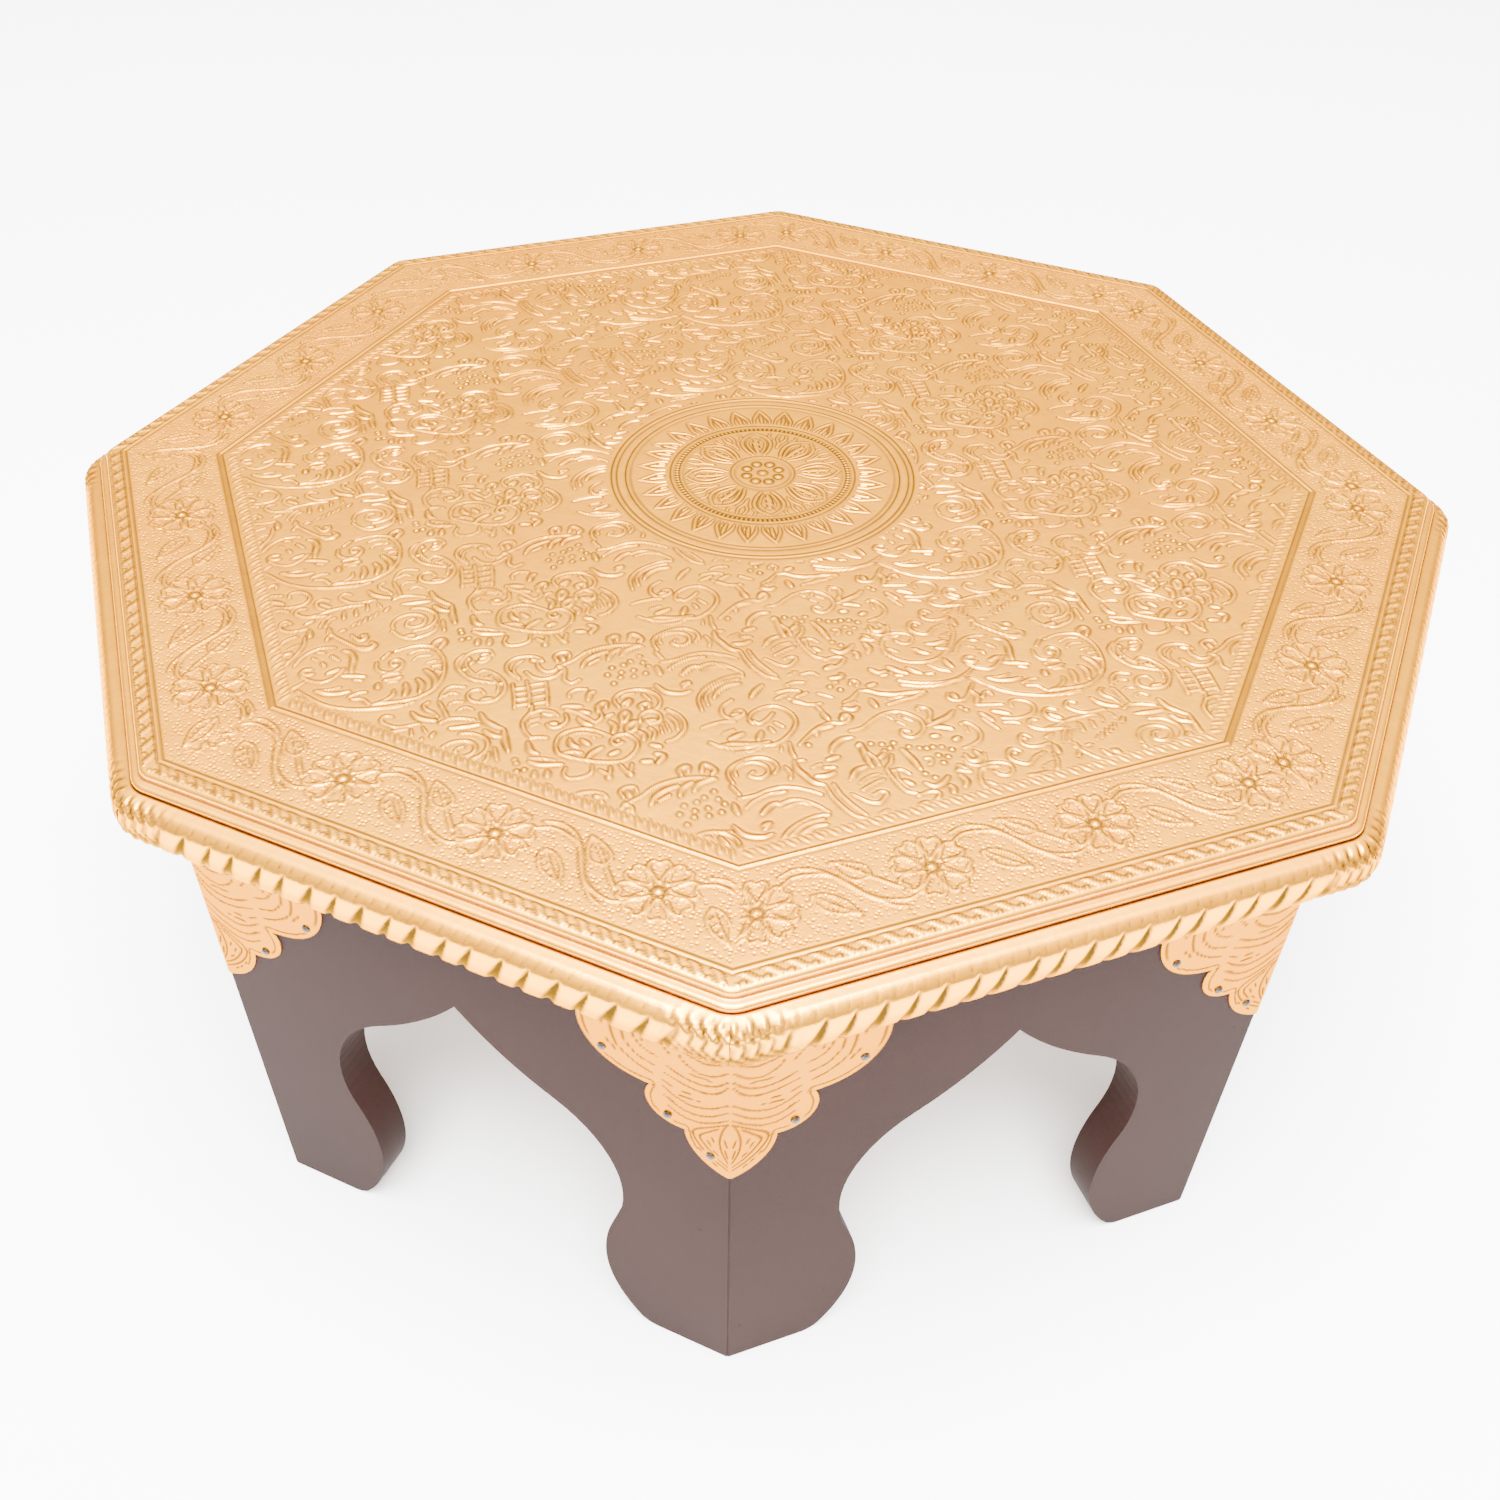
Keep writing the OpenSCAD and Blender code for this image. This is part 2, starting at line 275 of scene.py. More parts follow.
# ---------------------------------------------------------------- patterns
# Strokes of one repeat of the scrolls: points along and across the repeat, in mm.
# Broad strokes of the leaves.
LEAF_STROKES = (
    ((40.2, 7.7), (39.9, 10.4), (38.8, 12.9)), ((43.5, 6.9), (44.1, 9.6), (42.9, 12.9)),
    ((46.2, 3.8), (47.6, 6.7), (47.8, 9.4), (46.7, 12.1)),
    ((17.5, 2.8), (20, 4.8), (23.3, 5.9), (26, 5.9)), ((33.4, 5.4), (33, 7.3)),
    ((35.2, 4.7), (37.5, 5.1), (39.7, 4.7)), ((-5, -10.6), (-3.5, -8.1), (-1.7, -6.2)),
    ((-0.8, -8.5), (0.4, -6.5), (1.9, -5)), ((10.2, -8.5), (10.5, -6.2), (11, -4.4)),
    ((5.9, 5.4), (5.9, 7.5)), ((11, 6.2), (11.3, 8.8), (9.6, 11.5)),
    ((-6.2, 14.9), (-2.9, 14.2), (0.4, 13.3), (2.8, 11.8)), ((8.8, 15), (9.7, 16.9), (10.5, 19)),
    ((12.2, 15.4), (14.2, 16.8), (15.8, 18.1)), ((-2.4, 22.1), (-0.8, 21.7)),
    ((-5, 16), (-2.9, 16.6), (-1, 18.3)),
    ((-2.4, 27.9), (-2.2, 30.4), (-0.4, 31), (0.9, 29.7), (0.4, 27.7)),
    ((4.8, 41.3), (5.9, 43.3), (7.5, 44.8)), ((8.8, 40.6), (11.2, 41.3), (14.4, 41.3)),
    ((25.5, 21.8), (27.6, 24.2)), ((39.2, 20), (40.2, 22.5), (42.1, 24.2), (44.2, 25.5)),
    ((46.7, 29.6), (50, 30.3), (54.4, 30.9)), ((20.5, 32.8), (20.2, 35.9)),
    ((31.3, 44.7), (33.8, 46.2), (35.9, 45.5), (35.3, 43.7)), ((33.5, 39.8), (34.6, 41.2)),
    ((44.5, 44.6), (46.8, 44.7)), ((55.6, 26.5), (56.2, 30), (58, 33), (59.6, 34.8)),
    ((59.6, 34.8), (58.8, 38.8), (58.5, 43.5)), ((54.9, 33.3), (56.2, 35.9), (58.1, 37.3)),
    ((18.3, 52.2), (16.7, 52.2), (15.6, 51), (16.5, 49.9), (18.3, 50.2)), ((21.7, 53.4), (25.1, 52.5)),
    ((27.5, 45), (29.2, 46.5), (29.4, 49.4), (28.4, 52.5), (27.8, 55)),
    ((25, 55.6), (27.5, 56.5), (30.9, 58.1)),
    ((50.5, 51.8), (51.3, 50.1), (53.4, 49.2), (53.8, 50.8), (52, 53)), ((61, 4.7), (63, 4.5)),
    ((57.2, 21.3), (59.9, 21.8)), ((73.8, 9.7), (75.7, 11.2)), ((81.8, 11), (81.9, 13)),
    ((70.5, 32.2), (72.7, 33.8)), ((71.3, 36.7), (72.8, 37.3)),
    ((63.9, 41.7), (63.8, 45.1), (65.2, 46.8)), ((62.2, 48.8), (64.3, 50.8), (66.9, 51.8), (69.8, 52.8)),
    ((83, 31.3), (84.3, 28.8), (85.6, 28.4)), ((76, 31.3), (78.5, 32.1), (80.7, 33)),
    ((79.4, 34.7), (81.9, 36.3)), ((78.5, 37.2), (79.4, 39.6), (81, 41.3)),
    ((83.9, 36.8), (85.2, 34.2), (86.9, 33.8), (86.4, 35.9)), ((85.6, 41.2), (86.4, 43.4), (85.1, 45.9)),
    ((88.5, 43), (89.3, 40.1), (90.7, 39.2), (90.9, 40.9), (89.3, 43)),
    ((88.5, 47.2), (89.4, 44.7), (91.9, 43.8), (91, 46.3), (89, 47.2)),
    ((95.2, 39.7), (95.2, 38), (97.3, 37.9), (96.9, 39.7)), ((91, 35.9), (93.1, 35), (91.9, 36.8)),
    ((74.1, 44.2), (74, 46.3), (75.3, 48.1)), ((76.8, 45.5), (78.1, 48)),
    ((76, 53), (78.1, 51.2), (81, 50.1)), ((81.8, 53.5), (84.4, 52.9)), ((94.7, 44.4), (97, 45)),
    ((91.4, 47.6), (92.2, 49.2), (91.5, 51.3)), ((92.6, 53.4), (94.8, 55.1)), ((62.6, -4), (61.9, -2)),
    ((65.7, -3.1), (64.9, -0.8)), ((79.4, 3.5), (79, 5)), ((84.3, 4.4), (84.5, 5.8)),
    ((88.5, 1.9), (91, 2.7)), ((92.6, 0.2), (94.2, 1.7), (92, 4)),
    ((85.5, 17.6), (87.6, 15.1), (91, 13.8), (94, 13.4)), ((93.1, 17.1), (94.8, 14.6), (97.7, 13.4)),
    ((96.9, 16.8), (99, 14.6), (103.1, 14.2)), ((96, 10.5), (96.4, 8), (98.5, 7.6), (98, 9.7)),
    ((101, 10.9), (102.7, 8.4), (104.4, 11.2), (103.1, 12.6)), ((104.4, 24.2), (104.2, 28)),
    ((101.5, 31.3), (103.1, 35.1), (106.5, 37.2), (109.4, 37.1)),
    ((109.3, 30.1), (112.3, 28), (114.5, 27.6)), ((108.2, 33.8), (110.3, 33.4)),
    ((114.1, 41.8), (116.2, 39.6), (119.5, 38.3), (122.8, 38.8)),
    ((123.2, 45.1), (125.3, 43), (127.9, 41.3)), ((115.9, 50), (117.8, 50.2)),
    ((109, 3.4), (112, 3.8), (114.8, 5), (117.8, 5.9), (121.2, 6.3)), ((111.9, 1.8), (116.2, 0.9)),
    ((120.7, 1.8), (118.7, 4.7)), ((138.2, 0.5), (138.7, 3.5)),
    ((124.1, 15.1), (123.7, 18), (124.5, 20.9), (125.7, 24.2), (127.8, 25.9)),
    ((126.9, 22.2), (129.5, 23), (132, 22.6)), ((132, 17.7), (135.3, 17.5)), ((141.8, 4.7), (143.2, 3.7)),
    ((133.2, 8.4), (134.5, 6.3), (138.7, 6.3)),
    ((134.1, 15.5), (135.7, 13.4), (138.7, 11.8), (141.6, 12.2)),
    ((141.2, 15.5), (142.3, 15.1), (142, 18.4), (141.6, 21.8), (141.6, 24.2)),
    ((144.6, 21.7), (146.6, 20.5)), ((135.2, 25.9), (137.4, 23.8), (140.3, 23.4)),
    ((146.8, 31.3), (148.2, 33.4)), ((151.2, 20.5), (151.9, 23.4), (152.3, 26.3), (152.4, 29.2)),
    ((151.2, 33.8), (152.8, 35.8), (155.3, 35.5), (157.8, 33.8)),
    ((156.2, 39.7), (156.9, 38), (156.5, 36.8)), ((159.8, 38.8), (161.1, 36.8), (160.7, 34.2)),
    ((160.7, 33), (162.4, 31.8), (162, 30.9)), ((160.7, 18.8), (162.4, 19.2)), ((163.8, 16), (166.9, 18)),
    ((146.2, 40.9), (148.7, 40.3)), ((145.7, 45.1), (148.7, 45.5), (149.5, 44.2)),
    ((150.7, -4.2), (153.2, -3.4), (155.7, -1.2), (159.1, 0.4), (163.2, 1.2), (166.9, 2)),
    ((154, -5.3), (156.2, -5.5)), ((152.3, 0), (152.4, 3.4)), ((144, 0.8), (146.2, 2.2), (147.8, 1.8)),
    ((142.1, 4), (143.2, 3.3), (144.1, 4.6), (143.2, 5.6)), ((157.3, 45.1), (159, 47.5), (161.2, 47.6)),
    ((162.4, 45.9), (163.7, 48.4)),
)
# Stems, curls and outlines.
SCROLL_STROKES = (
    ((13.3, 1.2), (15.2, 4.4), (18.3, 8.8), (22.5, 12.1), (27.5, 14.4), (32.5, 15.5), (37.5, 16)),
    ((30.4, 13.5), (35, 14.2), (39.2, 14.8), (42.9, 14.4), (46.7, 12.5), (49.6, 9), (51.3, 4.8),
     (51.9, 0.4), (51, -3.8), (49.2, -6), (45, -7.1), (40.4, -6.5)),
    ((36.7, 9.6), (36.2, 11.3), (33.8, 12.9), (30.8, 13.5)), ((25.8, 9.4), (28.3, 10.4), (29.6, 12.9)),
    ((25.4, 8.1), (27.9, 7.5), (29.8, 7.7)),
    ((34.9, -3.5), (34.4, -1), (35.6, 1.2), (38.1, 2), (40.4, 0.8), (41.3, -1.2), (40.2, -2.9),
     (38.5, -2.3), (38.5, -0.6), (39.8, -0.6)), ((35.2, 2.9), (37.1, 2.5), (39.4, 3)),
    ((36.7, -4.6), (39, -6.7)),
    ((-5.4, -4.4), (-0.4, -1.5), (4.6, 0.2), (9.2, 0.5), (12.9, -0.6), (15.4, -1.9)),
    ((-5.4, -2.5), (-1.2, -0.3), (3.3, 1), (7.5, 1.2), (11.7, 0.8)),
    ((5, -7.7), (7.1, -4.8), (9.4, -3.1)), ((2.9, -4.4), (4.8, -3.8)),
    ((-5.4, 0.8), (-2.9, 1.5), (-0.8, 2.2), (-2.9, 2.9), (-5.4, 3.3)),
    ((4.6, 5), (3.8, 6.8), (5, 8.2), (7.3, 8.7), (9.4, 7.5), (11, 5.6), (12.7, 3.8)),
    ((12.5, 9.6), (13.8, 8.2), (15.1, 8.2), (15.2, 9.6)), ((8.4, 17.1), (9.4, 20), (10.2, 22.3)),
    ((9.4, 11.9), (12.5, 12.9), (16, 14)),
    ((17.8, 15.8), (18.3, 14), (20.5, 13.8), (22.6, 15.4), (23.2, 17.7), (21.7, 19.9), (18.8, 20.5),
     (15.8, 20), (13.1, 18.8)), ((12.9, 20.5), (15, 21.2), (16.5, 22.3)),
    ((1.9, 17.3), (3.5, 17.1), (4.8, 19.2), (5.1, 21.9), (3.8, 24.4), (1.2, 25.5), (-1.5, 25.9)),
    ((-5.2, 6.9), (-3.4, 8.5), (-3.8, 11.2), (-5.2, 12.9)),
    ((5.9, 37.9), (6.3, 35.8), (4.7, 34), (1.2, 33.2), (-1.7, 34.9), (-3.2, 37.9), (-3.1, 41.2),
     (-1.2, 44.5), (1.7, 46.7), (5.4, 47.8), (9, 47.5), (12.5, 45.5), (15.8, 42.1), (18, 38.8),
     (18.8, 35.6)), ((5.9, 37.9), (4.4, 38.8), (2.5, 38.1), (1.5, 36.2)), ((-1.7, 39), (-0.2, 41.2)),
    ((10.4, 43.3), (13.3, 44.6)),
    ((11.3, 31.9), (10.2, 30.5), (8.4, 30.9), (7.5, 33.1), (8.7, 35.5), (11.2, 36.8), (14, 35.1),
     (16.9, 34.4)),
    ((16.3, 28), (15.3, 26.5), (13.8, 27.2), (13.2, 29.4), (14.7, 31.3), (17.5, 32), (20, 31.7)),
    ((21.3, 22.6), (19.6, 22.3), (18.3, 23.8), (19.7, 25.9), (22.6, 27.2), (26, 27.9)),
    ((28, 20.9), (26.3, 19.7), (24.4, 20.9), (24.7, 23.4), (26.9, 25.6)),
    ((34.2, 20.1), (32.7, 19.1), (31.2, 20.5), (32.2, 22.6), (34.8, 24.7), (40, 25.1)),
    ((20.8, 26.8), (25, 26.5), (28.3, 25.7), (32.5, 25.7), (36.7, 26.2)),
    ((44.2, 17.5), (42.7, 18.4), (42.9, 20.2), (44.2, 21.9), (45, 24)),
    ((46.7, 18.3), (47.1, 21.7), (47.3, 25.6)), ((47.2, 17.3), (48.8, 14.7), (51.2, 13.4), (54.4, 14.7)),
    ((45, 26.8), (47.5, 26), (50.6, 26.9), (53.5, 28.5)), ((30.9, 27.6), (30.3, 30.9)),
    ((34.2, 28), (33.8, 30.5)), ((42.9, 29.8), (41.7, 31.2)), ((20, 29.6), (22.3, 28.8)),
    ((25.6, 33.8), (26, 35.9)), ((28.3, 36), (29.6, 35.9)), ((24.2, 38.8), (25.6, 36.7)),
    ((25.1, 35.1), (26.7, 38.4), (28.3, 40.9), (30.4, 43.8), (32.5, 46.7), (35.2, 46.8)),
    ((30.9, 38.8), (32.3, 42), (34.2, 41.8), (34.7, 39.9)),
    ((48.8, 32.6), (52.1, 33.8), (54.4, 37.1), (53.8, 40.4), (51, 42.6), (47.1, 42.9)),
    ((42.1, 40.1), (42.2, 38.3), (43.8, 36), (46.7, 35.1), (49.7, 35.9), (51.3, 38), (50.4, 40.5),
     (48, 41.3), (45.9, 40), (46.7, 37.9), (48.5, 37.6)),
    ((41.6, 40.8), (43.3, 44.2), (45.9, 46.3), (49.7, 46), (52.6, 44.6), (53.8, 42.1)),
    ((47.1, 46.3), (49.7, 45.6)), ((55.6, 40.8), (55, 45.6)),
    ((14.2, 47.1), (16.3, 44.6), (19.2, 42.6), (22.6, 42.1), (25.6, 42.9)),
    ((15.2, 52.4), (17.1, 55), (20.1, 56.5), (23.4, 55.4), (26.3, 52.7)), ((20.8, 43.4), (22.6, 44.2)),
    ((21.3, 48.4), (21.7, 50)), ((24.2, 46.3), (25.6, 48.8)), ((27.9, 58.3), (29.7, 59.4)),
    ((57.5, 1.2), (55, 3.5), (54.5, 6.9), (55.6, 9.6)),
    ((64.7, 4.2), (64.5, 2.2), (62.6, 1.2), (60.1, 0.9), (57.2, 2.6), (55.1, 5.9), (55.1, 8.8),
     (56.8, 12.2), (59.4, 14.2), (61.9, 15.9)),
    ((60.3, 5.5), (61.6, 6.2), (63.5, 5), (63.5, 3.4), (61.9, 3)),
    ((58.7, 10.5), (61, 9.7), (63.5, 12.9), (64.5, 16.8), (63.5, 20.1), (60.6, 22.6), (57.2, 22.5),
     (54.7, 20.9), (54.1, 18.8), (55.5, 17), (57.8, 17.2), (58.5, 19.2)),
    ((68.5, 16.8), (67.1, 13.8), (66.6, 11.3), (67.7, 8.8), (70.2, 7.6), (73.5, 8), (76, 9.7),
     (76.5, 11.5)), ((75.1, 10.9), (74.8, 13.4), (76, 15.9), (78.5, 16.3), (79.8, 14.7)),
    ((71, 14.2), (72.3, 17.2), (74.8, 18.8), (77.7, 18.8), (80.1, 17.2)),
    ((79.7, 15.1), (81, 16.8), (80.2, 19.2), (79.7, 20.9), (81, 23), (83.5, 22.2)),
    ((80.2, 12.9), (80.1, 10.5), (81.9, 9.5), (83.9, 10.1), (83.9, 11.8)),
    ((66.4, 17.9), (65.5, 23.3), (64.3, 27.7)), ((70.2, 18), (69.4, 23.3), (68, 28.4)),
    ((74.8, 20), (74, 23.8), (72.6, 29.4)), ((66.6, 20.2), (68.9, 20.5)), ((66, 22.3), (68.5, 22.6)),
    ((65.6, 24.6), (68.1, 24.9)), ((65.1, 26.9), (67.7, 27.2)), ((71, 20), (74, 20.4)),
    ((70.6, 22.5), (73.7, 22.8)), ((70.2, 25.1), (73.1, 25.4)), ((69.7, 27.7), (72.7, 28.1)),
    ((68.9, 28.4), (67.6, 30.9), (64.9, 33.8), (64.4, 37.2), (65.1, 40.5)),
    ((67.6, 31.3), (70.5, 30.9), (73.1, 32.6), (74, 34.6)),
    ((70.3, 36.7), (71, 38.4), (73.1, 38.8), (75.5, 37.2), (76, 34.6)),
    ((65.1, 40.6), (66.9, 40.8), (69, 41.8)), ((78.8, 28.4), (79.3, 26.8), (81.5, 26), (84, 26.8)),
    ((76.5, 32.7), (78.5, 34.7), (80.2, 37.2), (81.9, 40.1)), ((85.5, 39.2), (87.3, 38.8)),
    ((82.2, 40.5), (84.4, 38.8), (84.3, 34.2)),
    ((89.7, 36.8), (89.3, 33.8), (91, 31.8), (94.4, 31.2), (97.7, 32.2), (100.2, 35.1), (100.6, 38),
     (99, 40.4), (96.4, 40.9)), ((97.2, 33.8), (98.1, 36.8)),
    ((84.3, 47.2), (81.9, 44.2), (79, 41.9), (75.6, 41.2), (72.3, 42.1), (70.3, 45.1), (70, 48.4),
     (71.8, 50.5), (74.4, 52.6), (77.7, 54.7), (81, 56.2), (84.4, 56.8), (87.6, 55.1), (89.5, 52.6),
     (89.6, 50.1), (88.1, 47.6), (85.6, 47.1), (83.7, 48.8), (84.3, 50.6), (86.4, 50.1)),
    ((71.2, 48.8), (73.5, 49.2), (75.6, 50.6)),
    ((93, 44.2), (93.9, 41.8), (96.4, 40.9), (98.5, 43), (98, 45.5), (95.6, 45.9), (94.4, 44.2)),
    ((101, 41.8), (103, 45.1), (103.5, 48.4), (102.3, 51.3), (99.4, 53.4), (96.8, 53.8)),
    ((100.5, 44.2), (101.5, 47.6), (101, 50.5)), ((94.4, 47.2), (95.2, 49.2), (93.9, 51.8)),
    ((70.2, -2.5), (69, -0.4), (69.7, 1.5), (72.7, 2.3), (75.5, 1.5), (76.6, -1)),
    ((77.7, 1.2), (79, 3.3)), ((80.6, 1.2), (79.7, 3.5)), ((83.1, 1.2), (83.9, 4.6)),
    ((86, 1.9), (84.8, 4.4)),
    ((80.2, 15.1), (84.4, 13.8), (88.5, 11.8), (93.1, 11.2), (97.7, 11.8), (101, 13), (103.5, 14.4)),
    ((87.7, 17.1), (91, 15.8)), ((108, 35.1), (110.2, 33.8)),
    ((106.9, 17.6), (106.7, 15), (107.5, 12.7), (109.5, 11.3), (113.2, 10.4), (116.6, 10.9), (119, 13),
     (119.4, 15.8), (117.8, 17.6)),
    ((108.6, 15.1), (109.1, 13), (111.6, 11.7), (114.8, 12.2), (116.8, 14.6), (116.2, 17.1), (113.7, 18),
     (111.6, 16.3), (113.2, 15.1)), ((106.5, 20), (106.1, 18.3), (106.9, 21.7)),
    ((106.1, 23), (110.2, 23.3), (114.4, 22.7), (118.7, 23.3), (122.8, 25.9), (125.7, 28.8)),
    ((106.5, 26.8), (109.5, 25.1), (113.7, 24.2), (117.8, 24.7)),
    ((114.4, 28.4), (117.8, 27.9), (120.7, 29.2), (123.2, 32.1), (124.9, 35.1)),
    ((109.4, 45.5), (110.2, 40.9), (113.2, 37.6), (117.4, 35.8), (121.6, 35.2), (124.5, 35.9)),
    ((111.6, 44.2), (112.3, 40.5), (115.3, 37.9), (118.7, 36.8), (122.8, 36.8)),
    ((118.2, 44.2), (114.9, 45.9), (113.8, 48.8), (115.3, 51.3), (118.7, 50.9), (119.1, 49.2),
     (117.1, 48.8)), ((106.9, -4.8), (109.5, -5.1), (113.2, -5), (115.7, -4.2)),
    ((119.8, -1.7), (119.4, -3.3), (120.9, -5.6), (124.5, -6.8), (128.2, -5.9), (130.3, -2.6),
     (130.6, 0.6), (129.1, 3.5), (125.7, 6.3), (122, 7.6), (118.2, 6.8), (113.2, 5.9), (109.4, 4.2),
     (106.7, 1.2)), ((120.3, -2.7), (121.2, -1.2), (123.7, -2), (126.2, -3.8)),
    ((125.2, -0.3), (126.6, 2.2)), ((123.2, 1.2), (123.6, 3.3)),
    ((127.8, 26.3), (127.8, 30.5), (128.7, 34.7), (130.3, 38.4), (132.8, 40.5)),
    ((129.9, 26.3), (130.1, 30.5), (131.2, 34.7), (132.9, 39.2)), ((137.7, -3.1), (138.5, 0.4)),
    ((121.2, 16.3), (121.6, 18.8), (120.7, 20.9)), ((125.7, 8.3), (124.9, 11.7), (124.9, 13.8)),
    ((125.2, 15.4), (126.6, 15.8)), ((130.2, 20.1), (132.8, 20.8)),
    ((127.7, 10.1), (132, 7.2), (135.3, 5.5), (138.7, 5.1), (141.2, 6.2), (143.7, 5.5), (144.1, 3.4)),
    ((142, 9.7), (145.3, 9.7), (148.2, 8.3), (152, 6.8), (155.7, 6.7), (158.7, 8.4), (160.7, 11.8),
     (160.3, 15.1), (158.2, 17.1), (155.7, 17.6), (154, 15.9), (154.5, 14.2), (156.2, 15.1)),
    ((142.8, 18.8), (143.6, 21.8), (143.4, 24.2)),
    ((132.7, 31.3), (135.3, 35.1), (137.8, 36.3), (140.7, 34.2), (139.8, 32.9), (137.4, 33.4)),
    ((135.7, 30.9), (139.5, 29.7), (142.3, 29.2)),
    ((144.4, 28.4), (144.8, 31.8), (145.7, 35.1), (147.8, 36.8)),
    ((144.4, 27.9), (144.6, 25.8), (146.5, 24.2), (147.9, 21.7)),
    ((145.7, 27.1), (147.8, 27.5), (149.1, 29.7)),
    ((155.2, 25.9), (156.6, 26.3), (156.1, 27.9), (155.3, 28.3)), ((161.5, 32.9), (163.8, 34.4)),
    ((161.9, 7.7), (164, 8), (164.8, 9.7), (163.7, 11.8), (162.7, 13.8)),
    ((146.3, 41.3), (148.7, 41.3), (151.2, 40.4), (152.8, 38.4), (150.7, 37.2), (147.4, 37.6)),
    ((149.8, 49.2), (150.9, 48), (152.1, 49.2), (151.2, 50.5)),
    ((130.2, 45.5), (133.7, 45.8), (136.2, 47.1)), ((133.7, 43.8), (136.2, 43.3), (138.7, 44.2)),
    ((134.4, 49.2), (137.8, 48.4)), ((129, 48), (132.8, 47.1)),
    ((132.8, 50.5), (136.2, 53), (139.5, 53.8)), ((140.3, 49.7), (143.2, 52.6)),
    ((139.4, 40.8), (142.3, 41.2), (143.2, 42.9)),
    ((155.7, 3.5), (159.5, 3.3), (163.2, 3.2), (166.5, 2.5)),
    ((145.2, -1.2), (147.8, -2.1), (150.3, -3.8)), ((159, 48.8), (160.7, 49.2)),
    ((162.7, 50.1), (164.5, 50.9)),
)
# Fine ribs inside the leaves.
FINE_STROKES = (
    ((15.8, 5.9), (20, 10.5), (25.8, 14), (31.2, 15.8), (36.7, 16.7), (40.8, 16)),
    ((17.9, 2.7), (20.8, 3.5), (24, 3.3)), ((44.2, -1), (46, -2.2), (49.2, -1.7)), ((47.3, 1.2), (50, 1)),
    ((48.3, 3.1), (50.6, 3.3)), ((43.8, -4.2), (46.7, -4.8), (49.4, -3.8)), ((48.8, 5), (50.4, 6.7)),
    ((36, 5.9), (38.5, 6.2)), ((2.6, 18.3), (2.1, 21)),
    ((-3.7, 29), (-3, 31.7), (-0.8, 33), (1.2, 32), (2.3, 29.2)), ((-5.2, 31.7), (-3.8, 34)),
    ((13.8, 39.2), (17.1, 38.3)), ((-0.8, 34.8), (1.2, 34.4), (3.5, 35)),
    ((48.3, 16.7), (50.4, 16), (52.1, 16.9)), ((48.8, 20.4), (50.4, 19.7), (52.5, 20.5)),
    ((50.4, 23.4), (52.5, 22.8), (54.2, 24.4)), ((37.6, 26.8), (37.2, 29.2)),
    ((40.5, 26.8), (40.9, 29.2)), ((31.7, 35.1), (33.1, 33.8)), ((33.5, 35), (34.4, 33.1)),
    ((35.4, 34), (36.2, 32.2)), ((36.9, 33.4), (37.9, 31.8)), ((38.5, 32.7), (39.5, 30.9)),
    ((23.3, 32.6), (25.1, 29.7), (27.6, 28)), ((24.8, 33.1), (26.5, 30.4), (28.3, 29.6)),
    ((19.2, 45.4), (20.4, 47.1)), ((57.4, 4), (56.9, 5.9), (57.4, 8.8), (58.7, 11.7)),
    ((60.3, 12.5), (62.1, 14.6), (62.7, 17.5), (61.9, 19.6)), ((58, 5.9), (59.3, 5)),
    ((68.9, 16.3), (68.1, 13), (69.4, 10.5), (71.8, 9.2)), ((66.5, 34), (69.3, 33.8)),
    ((66.2, 36), (68.5, 35.8)), ((62.6, 47.6), (65.5, 48.8), (68.5, 50.8)), ((100.5, 33), (96.9, 31.8)),
    ((91.6, 33.1), (93, 32.5), (95.1, 32.7)), ((74.3, 43), (76.9, 42.9), (79.8, 44.2), (81.9, 46.3)),
    ((79.7, 44.6), (80.1, 46.2)), ((97.3, 47.6), (96.8, 50.5)), ((98.9, 46.7), (98.9, 50.4)),
    ((115.2, 29.8), (119.5, 29.6), (121.5, 31.2)), ((111.6, 7.1), (115.3, 8), (118.7, 7.5)),
    ((111.1, -0.8), (114.4, -1.2)), ((123.2, 9.2), (122.4, 10.9)), ((127.3, 19), (130.2, 18.4)),
    ((153.2, 7.6), (154.1, 9.2)), ((154.8, 10.5), (156.2, 12.6)), ((157, 9.7), (158.7, 11.8)),
    ((156.1, 8.8), (157.5, 7.5)), ((134.1, 26.7), (136.2, 24.2)),
    ((136.1, 28.3), (139, 27.1), (142.1, 27.1)), ((146.2, 27.6), (145.7, 30.5), (146.5, 33.8)),
    ((161.8, 8.8), (162.5, 7.5)), ((132, 48.8), (135.3, 51.8)), ((136.1, 40), (138.6, 39.2)),
    ((156.9, 1.7), (159.5, 1.9), (161.9, 2.5)), ((144.4, 0), (148.2, -0.4)),
)
# Raised seeds.
SEEDS = (
    (5.1, 11.2), (6, 12.6), (9.8, 31.9), (14.7, 28), (59.2, 46.9), (59.2, 48.3), (58.5, 51.2),
    (60.4, 51.3), (58.2, 3.5), (56, 7.5), (61.9, 12.9), (63.5, 16.7), (85.5, 49), (93, 20.5), (91, 22.9),
    (94.8, 23.1), (93.9, 25.1), (91.5, 26.9), (96.3, 20.4), (98.5, 19.6), (101.5, 18.4), (98.1, 23.4),
    (97.4, 25.9), (101.5, 21.3), (100.7, 25.8), (102.4, 23.4), (129.9, 10.8), (155.7, 21.8),
    (157.4, 22.5), (159.1, 22.6), (161.2, 23.4), (163.2, 25.1), (159, 28.8), (154.5, 33), (152.8, 30.9),
    (159, 25.9), (161.1, 27.2), (144.9, 15.9), (147.4, 17.1), (146.9, 19.7), (148.7, 19.2), (150.4, 17.7),
    (153.4, 20.4), (144.4, 48.3), (146.5, 47.1), (146.5, 50.4),
)


